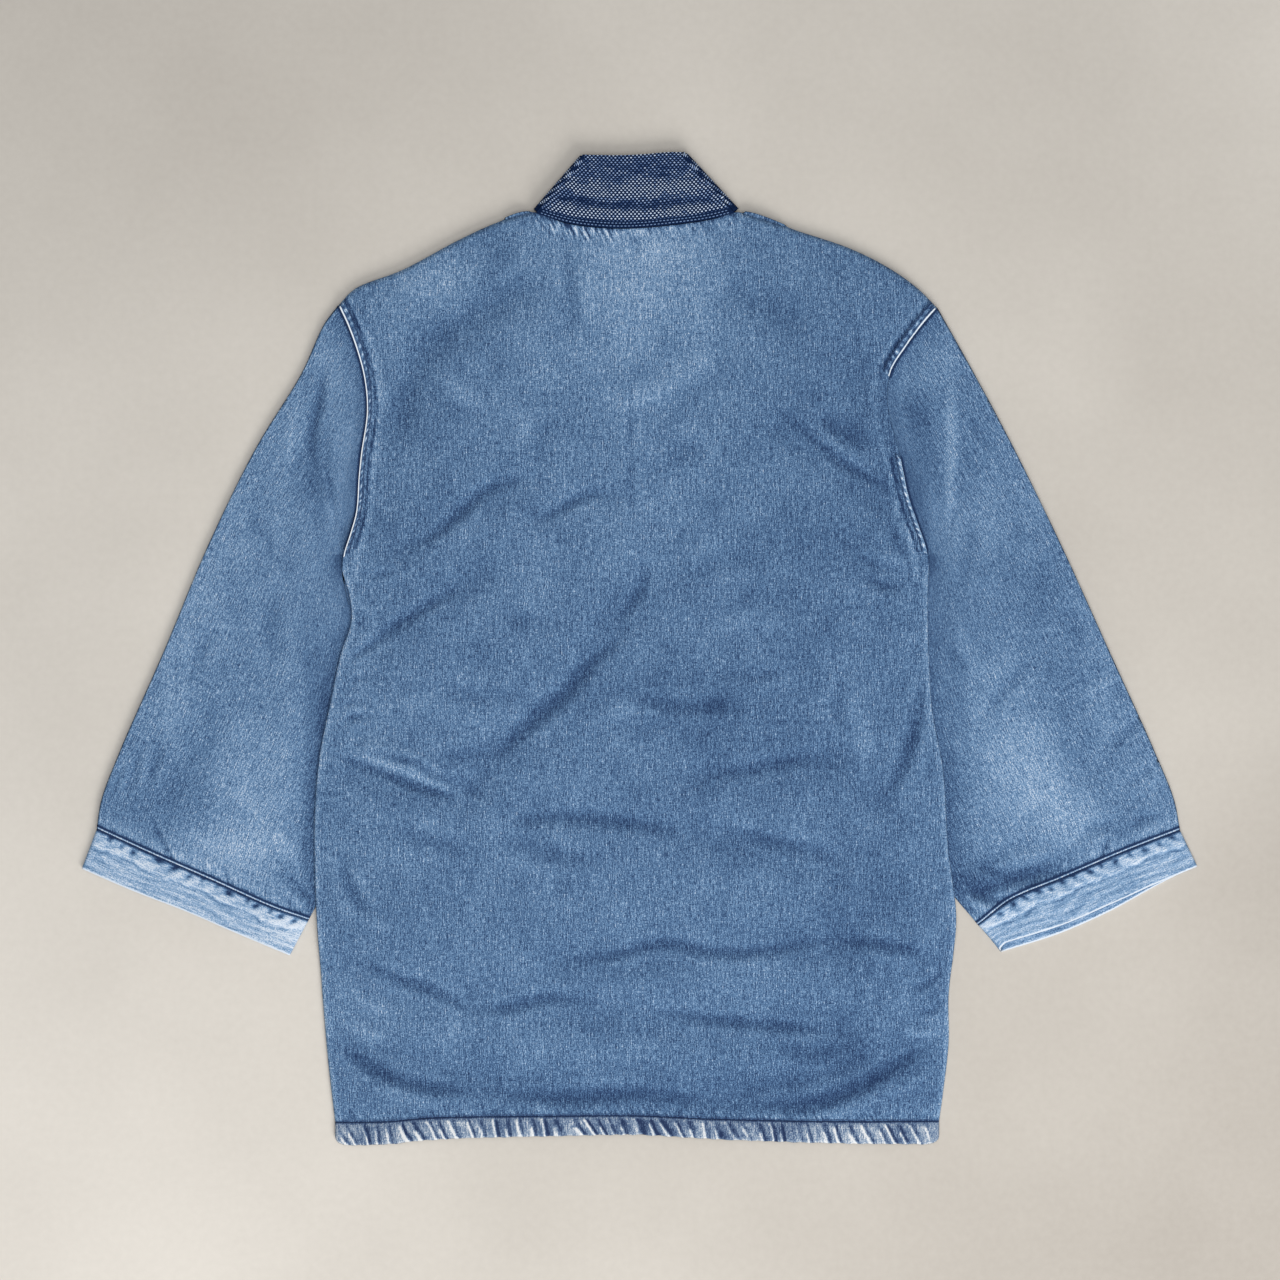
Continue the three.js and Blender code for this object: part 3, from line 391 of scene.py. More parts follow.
def back_relief(x, y):
    """Folds of the back, and apart from them its smaller relief: creases, puckers below the neck,
    above the hem and along the sides, and a crumple of two crossed sine waves whose phases sway.
    All fade out at its sides and shoulders."""
    edge = least_distance(EDGE_LINES, x, y)
    top = distance(TOP_LINE, x, y)
    large = folds(BACK_FOLDS, x, y) * smooth(edge, 4, 40) * smooth(top, 2, 20)
    small = creases(BACK_CREASES, x, y) * smooth(edge, 0.5, 6) * smooth(top, 2, 10)
    below_neck, along_neck = nearest(NECK_LINE, x + NECK_PUCKER_LEAN * (y - NECK_Y), y)
    neck = (ripples(along_neck, 31, 4, 1.8) - 0.35) * bell(below_neck, 7, 5)
    neck = neck * (0.35 + 1.3 * bell(x, -52, 20)) * smooth(top, 1, 4) * (np.abs(x) < 100)
    above_hem = distance(HEM_SAMPLES, x, y)
    hem = 0.45 * (ripples((x + 260) / 520, 44, 9, 1.5) - 0.4) * bell(above_hem, 5, 6) * smooth(edge, 3, 14)
    edges = 0.35 * (ripples((y + 400) / 480, 26, 7) - 0.5) * bell(edge, 9, 6) * (y < 60)
    crumple = 0.09 * (np.sin(x / 5.1 + 1.7 * np.sin(y / 9.3)) * np.sin(y / 6.7 + 1.3 * np.sin(x / 11.9))
                      + np.sin(x / 13.7 + y / 8.9 + 2 * np.sin(y / 31)) * np.sin(y / 14.1 - x / 21))
    return large, small + neck + hem + edges + crumple * smooth(edge, 4, 20) * smooth(top, 2, 10)


def back_level(x, y):
    """Outer surface of the back before its edges turn down, and its relief alone. The height blends
    from the side's level to BODY_TOP, from the shoulder's to that, and from the tip's to both."""
    edge = least_distance(EDGE_LINES, x, y)
    top = distance(TOP_LINE, x, y)
    across = mix(side_level("top", y), BODY_TOP, smooth(edge, 0, SIDE_SLOPE))
    level = mix(SHOULDER_TOP, across, smooth(top, 0, SHOULDER_SLOPE))
    tip = mix(TIP_TOP, level, smooth(edge + top, 0, SHOULDER_SLOPE))
    large, small = back_relief(x, y)
    return tip + large + small, 0.3 * large + small


def back_height(x, y):
    """Outer surface of the back: its level less the turn at its sides or shoulders, and its relief."""
    level, relief = back_level(x, y)
    side = least_distance(SIDE_LINES.values(), x, y)
    shoulder = least_distance(SHOULDER_LINES.values(), x, y)
    side_drop = turn(side, SIDE_TURN, level - seam_level(y) - SEAM_GAP / 2)
    shoulder_drop = turn(shoulder, SHOULDER_TURN, level - (SHOULDER_TOP + SEAM_GAP) / 2)
    return level - np.maximum(side_drop * free_side(y), shoulder_drop), relief


def patch(left, right, bottom, top, across, up):
    """A flat blend of four edge curves (a Coons patch): left and right run up, bottom and top from
    left to right. The edges are blended in by their shares, less the blend of the four corners."""
    u, v = across[None, :, None], up[:, None, None]
    b, t = bottom(across)[None], top(across)[None]
    corners = ((1 - u) * (1 - v) * b[:, :1] + u * (1 - v) * b[:, -1:]
               + (1 - u) * v * t[:, :1] + u * v * t[:, -1:])
    return (1 - u) * left(up)[:, None] + u * right(up)[:, None] + (1 - v) * b + v * t - corners


def raised(plan, height):
    """Plan points (x, y) with their height as a third coordinate."""
    return np.concatenate([plan, height[..., None]], axis=-1)


def normals(grid):
    """Unit normals of a grid, from the differences between neighbours, laid level at an edge that
    turns under so that its face stands square to it."""
    along = np.concatenate([grid[:, 1:], grid[:, -1:]], 1) - np.concatenate([grid[:, :1], grid[:, :-1]], 1)
    up = np.concatenate([grid[1:], grid[-1:]]) - np.concatenate([grid[:1], grid[:-1]])
    n = np.cross(along, up)
    n /= np.maximum(np.linalg.norm(n, axis=-1, keepdims=True), 1e-9)
    edge = np.zeros(n.shape[:2], bool)
    edge[[0, -1]] = edge[:, [0, -1]] = True
    level = edge & (np.abs(n[..., 2]) < LEAST_UPRIGHT)
    n[level, 2] = 0
    return n / np.maximum(np.linalg.norm(n, axis=-1, keepdims=True), 1e-9)


def put_mesh(name, points, quads, finish, uv, **numbers):
    """A mesh from points in millimetres and rows of four indices. uv holds four places a face in
    metres of cloth; numbers are named values at the points that the finish reads."""
    mesh = bpy.data.meshes.new(name)
    mesh.vertices.add(len(points))
    mesh.vertices.foreach_set("co", np.ascontiguousarray(points * 0.001, np.float32).ravel())
    mesh.loops.add(quads.size)
    mesh.loops.foreach_set("vertex_index", np.ascontiguousarray(quads, np.int32).ravel())
    mesh.polygons.add(len(quads))
    mesh.polygons.foreach_set("loop_start", np.arange(0, quads.size, 4, dtype=np.int32))
    mesh.polygons.foreach_set("use_smooth", np.ones(len(quads), bool))
    layer = mesh.uv_layers.new(name="cloth")
    layer.data.foreach_set("uv", np.ascontiguousarray(uv, np.float32).ravel())
    for label, values in numbers.items():
        held = mesh.attributes.new(label, "FLOAT", "POINT")
        held.data.foreach_set("value", np.ascontiguousarray(values, np.float32).ravel())
    mesh.update(calc_edges=True)
    mesh.validate()
    mesh.materials.append(finish)
    piece = bpy.data.objects.new(name, mesh)
    bpy.context.scene.collection.objects.link(piece)
    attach(piece, "root")
    return piece


def shell(name, outer, inner, finish, uv, ring=False, **numbers):
    """The closed cloth between an outer and an inner grid of the same size: both faces and the rims.
    A ring closes on itself across its columns, and its uv has one column more."""
    rows, columns = outer.shape[:2]
    steps = columns if ring else columns - 1
    j, i = (a.ravel() for a in np.meshgrid(np.arange(rows - 1), np.arange(steps), indexing="ij"))
    k, m = np.arange(steps), np.arange(rows - 1)
    last, end = rows - 1, columns - 1
    # Each sheet of faces by its four corners: row, column, and 0 on the outer or 1 on the inner grid.
    sheets = [((j, i, 0), (j, i + 1, 0), (j + 1, i + 1, 0), (j + 1, i, 0)),
              ((j, i, 1), (j + 1, i, 1), (j + 1, i + 1, 1), (j, i + 1, 1)),
              ((0, k, 1), (0, k + 1, 1), (0, k + 1, 0), (0, k, 0)),
              ((last, k, 0), (last, k + 1, 0), (last, k + 1, 1), (last, k, 1))]
    if not ring:
        sheets += [((m, 0, 1), (m, 0, 0), (m + 1, 0, 0), (m + 1, 0, 1)),
                   ((m, end, 0), (m, end, 1), (m + 1, end, 1), (m + 1, end, 0))]
    inner_start = rows * columns
    faces, maps = [], []
    for corners in sheets:
        order = [a * columns + b % columns + grid * inner_start for a, b, grid in corners]
        faces.append(np.stack(order, -1))
        maps.append(np.stack([uv[a, b] for a, b, _ in corners], 1))
    points = np.concatenate([outer.reshape(-1, 3), inner.reshape(-1, 3)])
    both = {label: np.r_[values.ravel(), values.ravel()] for label, values in numbers.items()}
    return put_mesh(name, points, np.concatenate(faces), finish, np.concatenate(maps), **both)


def wall(name, grid, thickness, finish, uv, **numbers):
    """A closed wall of cloth: the outer points, and the same points moved in by the thickness."""
    return shell(name, grid, grid - normals(grid) * thickness, finish, uv, **numbers)


# Finishes. Each reads the piece's own "cloth" map, metres along weft and warp, and its "tone",
# from about -1 where the indigo is deep or painted shade falls to +1 where it is washed pale or a
# painted highlight lies.

def put(tree, kind, inputs=None, **settings):
    """One node with its settings; an input is a number, a colour or another node's output."""
    node = tree.nodes.new(kind)
    for key, value in settings.items():
        setattr(node, key, value)
    for key, value in (inputs or {}).items():
        if isinstance(value, bpy.types.NodeSocket):
            tree.links.new(value, node.inputs[key])
        else:
            node.inputs[key].default_value = value
    return node


def calc(tree, operation, a, b=0.0, c=0.0):
    """The output of one Math node."""
    return put(tree, "ShaderNodeMath", {0: a, 1: b, 2: c}, operation=operation).outputs[0]


def number(tree, name):
    """The piece's own value of that name at each point."""
    return put(tree, "ShaderNodeAttribute", attribute_name=name, attribute_type="GEOMETRY").outputs["Fac"]


def weave_noise(tree, place, across, along, detail=2.0, offset=0.0):
    """Noise stretched to features across by along millimetres, from 0 to 1."""
    moved = put(tree, "ShaderNodeMapping", {"Vector": place, "Location": (offset, offset * 0.7, 0),
                                            "Scale": (1000 / across, 1000 / along, 1)})
    return put(tree, "ShaderNodeTexNoise", {"Vector": moved.outputs[0], "Scale": 1.0, "Detail": detail},
               noise_dimensions="2D").outputs[0]


def ramp(tree, factor, stops):
    """Colours by factor: rows of place and linear colour."""
    node = put(tree, "ShaderNodeValToRGB", {"Fac": factor})
    bar = node.color_ramp
    while len(bar.elements) < len(stops):
        bar.elements.new(0.5)
    for element, (place, colour) in zip(bar.elements, stops):
        element.position = place
        element.color = (*colour, 1)
    return node.outputs[0]


def linear(red, green, blue):
    """A display colour from 0 to 255 as linear light."""
    return tuple(((c / 255 + 0.055) / 1.055) ** 2.4 for c in (red, green, blue))


def start_finish(name, roughness=0.94, sheen=0.03, specular=0.12):
    """An empty cloth finish: its tree, its shader and its map in metres."""
    material = bpy.data.materials.new(name)
    material.use_nodes = True
    tree = material.node_tree
    tree.nodes.clear()
    shader = put(tree, "ShaderNodeBsdfPrincipled", {"Roughness": roughness, "Specular IOR Level": specular,
                                                    "Sheen Weight": sheen, "Sheen Roughness": 0.6})
    out = put(tree, "ShaderNodeOutputMaterial")
    tree.links.new(shader.outputs[0], out.inputs[0])
    place = put(tree, "ShaderNodeUVMap", uv_map="cloth").outputs[0]
    return material, tree, shader, place


# Washed indigo from deep to white, the greyer hem's, and that of the worn seams.
INDIGO_STOPS = [(0.0, linear(30, 50, 86)), (0.28, linear(64, 92, 129)), (0.5, linear(95, 129, 166)),
                (0.72, linear(140, 170, 202)), (1.0, linear(214, 224, 236))]
GREY_STOPS = [(0.0, linear(36, 52, 86)), (0.28, linear(74, 95, 128)), (0.5, linear(112, 133, 160)),
              (0.72, linear(156, 170, 186)), (1.0, linear(222, 224, 226))]
WORN_STOPS = [(0.0, linear(28, 48, 84)), (0.28, linear(62, 90, 128)), (0.5, linear(95, 129, 166)),
              (0.72, linear(156, 186, 216)), (1.0, linear(242, 249, 255))]
# Sideways lean of the pucker strokes for each step down the cloth.
PUCKER_LEAN = 0.5


def denim(name, level, streaks=1.0, cloud=1.0, worn=1.0, stops=INDIGO_STOPS):
    """Washed denim: level is the middle of its indigo from 0 deep to 1 white. Warp streaks, slubs,
    twill grain, faint weft lines and clouds are added to tone, and the sum picks the colour. Where
    the piece's pucker number is above 0, slanting strokes, 2.6 by 13 mm, are added as well."""
    material, tree, shader, place = start_finish(name)
    tone = number(tree, "tone")
    warp = weave_noise(tree, place, 0.8, 4.6, 2.0)
    slub = weave_noise(tree, place, 1.3, 24.0, 2.0, 37.0)
    grain = weave_noise(tree, place, 0.8, 1.2, 1.0, 11.0)
    weft = weave_noise(tree, place, 9.0, 0.9, 1.0, 53.0)
    clouds = weave_noise(tree, place, 38.0, 46.0, 3.0, 5.0)
    amount = number(tree, "pucker")
    split = put(tree, "ShaderNodeSeparateXYZ", {0: place})
    leaning = calc(tree, "MULTIPLY_ADD", split.outputs[1], PUCKER_LEAN, split.outputs[0])
    turned = put(tree, "ShaderNodeCombineXYZ", {0: leaning, 1: split.outputs[1], 2: 0.0}).outputs[0]
    strokes = weave_noise(tree, turned, 2.6, 13.0, 1.0, 71.0)
    # tone holds painted shade and painted highlight as well as washes and wear; worn scales all of it.
    shade = calc(tree, "MULTIPLY_ADD", tone, 0.3 * worn, level)
    lean = calc(tree, "SUBTRACT", strokes, 0.5)
    shade = calc(tree, "MULTIPLY_ADD", lean, calc(tree, "MULTIPLY", amount, 1.9), shade)
    for source, weight in ((warp, 0.85 * streaks), (slub, 0.45 * streaks), (grain, 1.0 * streaks),
                           (weft, 0.16 * streaks), (clouds, 0.16 * cloud)):
        centred = calc(tree, "SUBTRACT", source, 0.5)
        shade = calc(tree, "ADD", shade, calc(tree, "MULTIPLY", centred, weight))
    tree.links.new(ramp(tree, shade, stops), shader.inputs["Base Color"])
    relief = calc(tree, "ADD", calc(tree, "MULTIPLY", warp, 0.6), calc(tree, "MULTIPLY", grain, 0.5))
    relief = calc(tree, "MULTIPLY_ADD", strokes, calc(tree, "MULTIPLY", amount, 2.0), relief)
    bump = put(tree, "ShaderNodeBump", {"Height": relief, "Strength": 0.35, "Distance": 0.0004})
    tree.links.new(bump.outputs[0], shader.inputs["Normal"])
    return material


def sashiko(name):
    """Indigo band with small pale dashes: rows ROW_PITCH apart across the band, dashes DASH_PITCH
    apart along it, each row moved on by half. inward is millimetres in from the sewn edge; the first
    five are plain binding with no dashes."""
    material, tree, shader, place = start_finish(name, sheen=0.0, specular=0.02)
    tone = number(tree, "tone")
    inward = number(tree, "inward")
    sway = weave_noise(tree, place, 30.0, 12.0, 2.0, 9.0)
    split = put(tree, "ShaderNodeSeparateXYZ", {0: place})
    along = calc(tree, "MULTIPLY", split.outputs[0], 1000 / DASH_PITCH)
    level = calc(tree, "MULTIPLY", split.outputs[1], 1000 / ROW_PITCH)
    across = calc(tree, "MULTIPLY_ADD", sway, 0.9, level)
    row = calc(tree, "FLOOR", across)
    stagger = calc(tree, "MULTIPLY", calc(tree, "MODULO", row, 2.0), 0.5)
    column = calc(tree, "ADD", along, stagger)
    cell = put(tree, "ShaderNodeCombineXYZ", {0: calc(tree, "FLOOR", column), 1: row, 2: 0.0})
    chance = put(tree, "ShaderNodeTexWhiteNoise", {"Vector": cell.outputs[0]},
                 noise_dimensions="2D").outputs[0]
    dx = calc(tree, "DIVIDE", calc(tree, "SUBTRACT", calc(tree, "FRACT", column), 0.5), 0.25)
    dy = calc(tree, "DIVIDE", calc(tree, "SUBTRACT", calc(tree, "FRACT", across), 0.5), 0.34)
    reach = calc(tree, "ADD", calc(tree, "MULTIPLY", dx, dx), calc(tree, "MULTIPLY", dy, dy))
    dash = put(tree, "ShaderNodeMapRange", {0: reach, 1: 0.7, 2: 1.1, 3: 1.0, 4: 0.0},
               interpolation_type="SMOOTHSTEP").outputs[0]
    field = put(tree, "ShaderNodeMapRange", {0: inward, 1: 4.6, 2: 5.6, 3: 0.0, 4: 1.0}).outputs[0]
    streak = weave_noise(tree, place, 22.0, 1.4, 2.0, 21.0)
    grain = weave_noise(tree, place, 0.9, 0.9, 1.0, 3.0)
    bright = calc(tree, "ADD", calc(tree, "MULTIPLY_ADD", chance, 0.36, 0.5),
                  calc(tree, "MULTIPLY_ADD", tone, 0.42, calc(tree, "MULTIPLY_ADD", streak, 0.6, -0.3)))
    mottle = calc(tree, "ADD", calc(tree, "MULTIPLY", grain, 0.1), calc(tree, "MULTIPLY", streak, 0.12))
    ground = calc(tree, "ADD", calc(tree, "MULTIPLY_ADD", tone, 0.05, 0.05), mottle)
    lit = calc(tree, "MULTIPLY", calc(tree, "MULTIPLY", dash, field), bright)
    shade = calc(tree, "ADD", ground, lit)
    stops = [(0.0, linear(4, 14, 40)), (0.22, linear(22, 40, 74)), (0.5, linear(72, 97, 140)),
             (0.8, linear(142, 168, 208)), (1.0, linear(206, 222, 242))]
    tree.links.new(ramp(tree, shade, stops), shader.inputs["Base Color"])
    relief = calc(tree, "ADD", calc(tree, "MULTIPLY", dash, field), calc(tree, "MULTIPLY", grain, 0.3))
    bump = put(tree, "ShaderNodeBump", {"Height": relief, "Strength": 0.5, "Distance": 0.0005})
    tree.links.new(bump.outputs[0], shader.inputs["Normal"])
    return material


body_denim = denim("body denim", 0.40)
sleeve_denim = denim("sleeve denim", 0.47)
cuff_denim = denim("cuff denim", 0.73, streaks=0.7, cloud=1.8)
hem_denim = denim("hem denim", 0.38, streaks=1.0, cloud=1.6, stops=GREY_STOPS)
seam_denim = denim("seam denim", 0.50, streaks=0.8, stops=WORN_STOPS)
collar_cloth = sashiko("collar band weave")


# The back

def tone_patches(x, y, patches):
    """Sum of soft patches of tone, washed, deep and painted shade: height * exp(-(u^2 + v^2)) about each
    centre, with its own radii.
    """
    return sum(height * np.exp(-((x - px) / rx) ** 2 - ((y - py) / ry) ** 2)
               for px, py, rx, ry, height in patches)


# Washed and deep patches of the body, and painted shade beside the right armhole (the patch at 214, 165):
# centre, radii, height.
BODY_WASH_AND_SHADE = [
    (-4, 330, 70, 60, 0.62), (-8, 250, 70, 50, 0.25), (-172, 306, 48, 26, 0.45),
    (60, 290, 50, 60, 0.15), (-110, 226, 70, 60, 0.10), (-222, 210, 14, 50, 0.25),
    (-8, 120, 90, 60, 0.12), (-90, 60, 60, 40, 0.08), (105, 300, 40, 26, -0.04),
    (150, 240, 60, 50, -0.10), (150, 60, 80, 70, -0.15), (190, 190, 22, 60, -0.25),
    (-150, -60, 60, 40, 0.10), (50, -50, 60, 40, -0.28), (120, -90, 60, 40, -0.18),
    (66, -46, 10, 7, -0.2), (200, -240, 60, 60, -0.20), (180, -360, 80, 40, -0.22),
    (0, -370, 160, 18, -0.15), (-120, -330, 120, 40, 0.06), (40, -280, 120, 30, 0.08),
    # (214, 165) is painted shade beside the right armhole.
    (200, -180, 30, 60, -0.12), (-238, -60, 24, 110, 0.2), (214, 165, 12, 60, -0.35),
    (-200, -295, 110, 34, 0.16), (-4, -120, 200, 60, 0.02),
]

# Rows and columns of the back's grid, closer at its edges. CLOSE is the shares near a side.
BACK_UP = np.r_[np.linspace(0, 0.004, 3), np.linspace(0, SIDE_SHARE, 146)[1:-1],
                SIDE_SHARE + (1 - SIDE_SHARE) * np.linspace(0, 0.97, 70),
                1 - np.array([0.0092, 0.0078, 0.0064, 0.0052, 0.0041, 0.0031, 0.0022, 0.0014, 0.0007, 0])]
BACK_UP = np.unique(np.round(BACK_UP, 6))
CLOSE = np.array([0, 0.5, 1.1, 1.8, 2.6, 3.5, 4.5, 6]) / BODY_WIDTH
BACK_ACROSS = np.r_[CLOSE, np.linspace(CLOSE[-1], 1 - CLOSE[-1], 186)[1:-1], (1 - CLOSE)[::-1]]
TOP_EDGE = [*SHOULDER_LEFT, *NECK_SEAM[1:], *SHOULDER_RIGHT[1:]]


def body_edge(side):
    """One side of the body from the hem up to the armpit, and on up the armhole to the tip."""
    below, above = route(SIDES[side][::-1]), route(ARMHOLES[side][::-1])

    def at(v):
        """The point at a share v of the edge."""
        low = below(np.clip(v / SIDE_SHARE, 0, 1))
        high = above(np.clip((v - SIDE_SHARE) / (1 - SIDE_SHARE), 0, 1))
        return np.where((v < SIDE_SHARE)[..., None], low, high)

    return at


BODY_EDGES = {side: body_edge(side) for side in SIDES}


def body_plan(across, up):
    """The back's outline filled in: a patch between its two sides, its hem line and its top."""
    edges = BODY_EDGES["left"], BODY_EDGES["right"], route(HEM_LINE), route(TOP_EDGE)
    return patch(*edges, across, up)


def cloth_map(plan, shift=(0.3, 0.45)):
    """Plan millimetres as metres of cloth, moved so that they are positive."""
    return plan * 0.001 + np.array(shift)


def stripped(x, y):
    """1 beside the stretches of armhole seam that show, and 0 elsewhere."""
    seen = {side: sum((y > low) & (y < high) for low, high in spans) for side, spans in SEEN_SEAMS.items()}
    return np.where(x < 0, seen["left"], seen["right"]) * (np.abs(x) > ARMHOLES_FROM_X)


def make_back():
    """The back: the body's plan at back_height. Its tone is washed patches, with painted shade beside
    the right armhole; painted highlight on ridges and painted shade in creases; a painted highlight
    along the sides; and painted shade in dark lines at the hem, the neck and the strips, where it
    puckers as well."""
    plan = body_plan(BACK_ACROSS, BACK_UP)
    x, y = plan[..., 0], plan[..., 1]
    height, relief = back_height(x, y)
    seam = least_distance(ARMHOLE_LINES.values(), x, y)
    side = least_distance(SIDE_LINES.values(), x, y)
    hem_line, neck = distance(HEM_SAMPLES, x, y), distance(NECK_LINE, x, y)
    # Painted highlight on ridges and painted shade in creases: the tone follows the relief.
    tone = tone_patches(x, y, BODY_WASH_AND_SHADE) + 0.42 * np.clip(relief, -1.6, 1.2)
    # Painted shade in the seams at the hem and the neck.
    tone = tone - 1.3 * bell(hem_line, 0, 1.1) - 0.7 * bell(neck, 0, 1.6)
    tone = tone + 0.35 * bell(seam, STRIP_WIDTH + 4.5, 3) * (np.abs(x) > ARMHOLES_FROM_X)
    # Painted highlight along the free sides, lightening the shade where the edge turns down.
    tone = tone + 0.5 * bell(side, 0.8, 3.2) * free_side(y)
    # Painted shade along the inner edge of the seen armhole strips.
    tone = tone - 1.2 * bell(seam, STRIP_WIDTH + 0.8, 1.2) * stripped(x, y)
    pucker = bell(neck, 3, 9) * (0.45 + 0.75 * bell(x, -52, 24)) * (np.abs(x) < 92)
    pucker = pucker + 0.35 * bell(hem_line, 2, 5) + 0.3 * bell(seam, STRIP_WIDTH, 5) * stripped(x, y)
    return wall("back_panel", raised(plan, height), CLOTH, body_denim, cloth_map(plan),
                tone=tone, pucker=pucker)


def front_inner_edge(side):
    """Inner edge of a front, where the collar band is sewn on, from the hem up to the neck."""
    sign = SIGN[side]
    centre = sign * (CENTRE_GAP / 2 + COLLAR_WIDTH)
    neck = SHOULDER_LEFT[-1] if side == "left" else SHOULDER_RIGHT[0]
    return [(centre, FRONT_FOOT_Y), (centre, -190), (centre, 10), (centre, 180),
            (centre + sign * 2, 262), (mix(centre, neck[0], 0.42), 318), neck]


def row_x(line, y):
    """The x of a near-upright line of samples at a height y."""
    order = np.argsort(line[:, 1])
    return np.interp(y, line[order, 1], line[order, 0])


def row_y(line, x):
    """The y of a near-level line of samples at a place x."""
    order = np.argsort(line[:, 0])
    return np.interp(x, line[order, 0], line[order, 1])


def front_height(x, y, side):
    """Underside of a front, lifted over the sleeve's tucked edge, its own edges turned up."""
    past = np.abs(row_x(TUCKED_LINES[side], y)) - np.abs(x)
    lift = side_level("lift", y) * (1 - smooth(past, TUCK_CLEAR, TUCK_CLEAR + TUCK_EASE))
    rise = seam_level(y) - SEAM_GAP / 2 - side_level("lift", y)
    side_turn = turn(distance(SIDE_LINES[side], x, y), SIDE_TURN, rise)
    shoulder_turn = turn(distance(SHOULDER_LINES[side], x, y), SHOULDER_TURN, (SHOULDER_TOP - SEAM_GAP) / 2)
    return lift + np.maximum(side_turn * free_side(y), shoulder_turn)


# Washed patches of a front, as if it were the right one, and the rows of its grid, closer at its
# shoulder.
FRONT_WASH = [(150, 250, 80, 60, 0.3), (120, -60, 90, 120, 0.12), (180, -300, 60, 60, -0.2)]
FRONT_UP = np.unique(np.round(np.r_[np.linspace(0, SIDE_SHARE, 60), np.linspace(SIDE_SHARE, 0.985, 34),
                                    1 - np.array([0.0092, 0.0064, 0.0041, 0.0022, 0.0009, 0])], 6))


def make_front(side):
    """A front: a patch between its inner edge, its side, its foot and its shoulder, at front_height.
    It is washed plainly, with a painted highlight along its side that lightens the shade at the edge."""
    sign = SIGN[side]
    inner = route([(x + sign * COLLAR_GAP, y) for x, y in front_inner_edge(side)])
    outer = BODY_EDGES[side]
    close = CLOSE * BODY_WIDTH / FRONT_WIDTH
    across = np.r_[close, np.linspace(close[-1], 1, 44)[1:]]
    foot = [outer(np.array([0.0]))[0], inner(np.array([0.0]))[0]]
    if side == "left":
        plan = patch(outer, inner, route(foot), route(SHOULDER_LEFT), across, FRONT_UP)
    else:
        plan = patch(inner, outer, route(foot[::-1]), route(SHOULDER_RIGHT), (1 - across)[::-1], FRONT_UP)
    plan = plan[:, ::-1]
    x, y = plan[..., 0], plan[..., 1]
    tone = tone_patches(sign * x, y, FRONT_WASH)
    # Painted highlight along the side, lightening the shade at the edge.
    tone = tone + 1.2 * bell(distance(SIDE_LINES[side], x, y), 0, 3) * free_side(y)
    return wall(f"front_panel_{side}", raised(plan, front_height(x, y, side)), CLOTH, body_denim,
                cloth_map(plan), tone=tone)


def make_back_hem():
    """The back's turned hem. It hangs HEM_DEPTH below its stitching, deeper towards both ends, and
    rises in slanting ropes of uneven spacing: height = the back's level at the stitching + a roll
    over the depth + sharp ridges less sharp troughs. Ridges are worn white and troughs stay dark."""
    share = np.linspace(0, 1, 720)[None]
    down = np.linspace(0, 1, 24)[:, None]
    edge = route(HEM_LINE)(share[0])[None]
    from_end = np.minimum(share, 1 - share)
    depth = HEM_DEPTH + HEM_SPREAD * np.abs(share - 0.5) - turn(from_end * BODY_WIDTH, *BACK_HEM_CORNER)
    depth = depth + 0.7 * (ripples(share, 38, 31) - 0.5) * smooth(from_end, 0.005, 0.03)
    x = edge[..., 0] + 0 * down
    y = edge[..., 1] - SEAM_GAP - down * depth
    level, _ = back_level(x, edge[..., 1] + 0 * down)
    side_drop = turn(from_end * BODY_WIDTH, SIDE_TURN, level - seam_level(y) - SEAM_GAP / 2)
    slant = HEM_ROPE_SLANT * (1 + 0.55 * np.sin(share * 37 + 2 * np.sin(share * 11)))
    slanted = share - down * slant / BODY_WIDTH + 0.0012 * np.sin(share * 67 + 3 * down) * down
    trough = ripples(slanted, HEM_ROPES, 12, 4)
    ridge = ripples(slanted + 0.24 / HEM_ROPES, HEM_ROPES, 12, 7)
    fine = ripples(slanted + 0.004 * np.sin(share * 310), 103, 5, 2.5)
    reach = smooth(down, 0.5 * np.sin(share * 83) ** 2, 0.5 * np.sin(share * 83) ** 2 + 0.2)
    ease = smooth(down, 0.02, 0.22) * smooth(from_end, 0, 0.02)
    rope = (0.55 - 1.0 * trough + 0.45 * ridge - 0.2 * fine) * ease * (1 - 0.25 * smooth(down, 0.8, 1))
    roll = 0.5 * np.sin(np.pi * np.clip(down * 1.05, 0, 1)) ** 0.6 - 0.9 * smooth(down, 0.86, 1) ** 2
    height = level - side_drop * (from_end * BODY_WIDTH < SIDE_TURN) + rope + roll
    patchy = 0.5 * np.sin(share * 47 + 2 * np.sin(share * 19)) * smooth(down, 0.1, 0.3)
    tone = 0.35 + patchy - 2.2 * trough * ease + 2.8 * ridge * ease * reach - 0.8 * fine * ease
    # Painted shade in the seam at the top of the band.
    tone = tone - 2.6 * bell(down, 0, 0.06) + 0.7 * smooth(down, 0.88, 1)
    plan = np.stack([x, y], -1)[::-1]
    return wall("hem_roped", raised(plan, height[::-1]), HEM_CLOTH, hem_denim, cloth_map(plan),
                tone=tone[::-1] + 0.1)


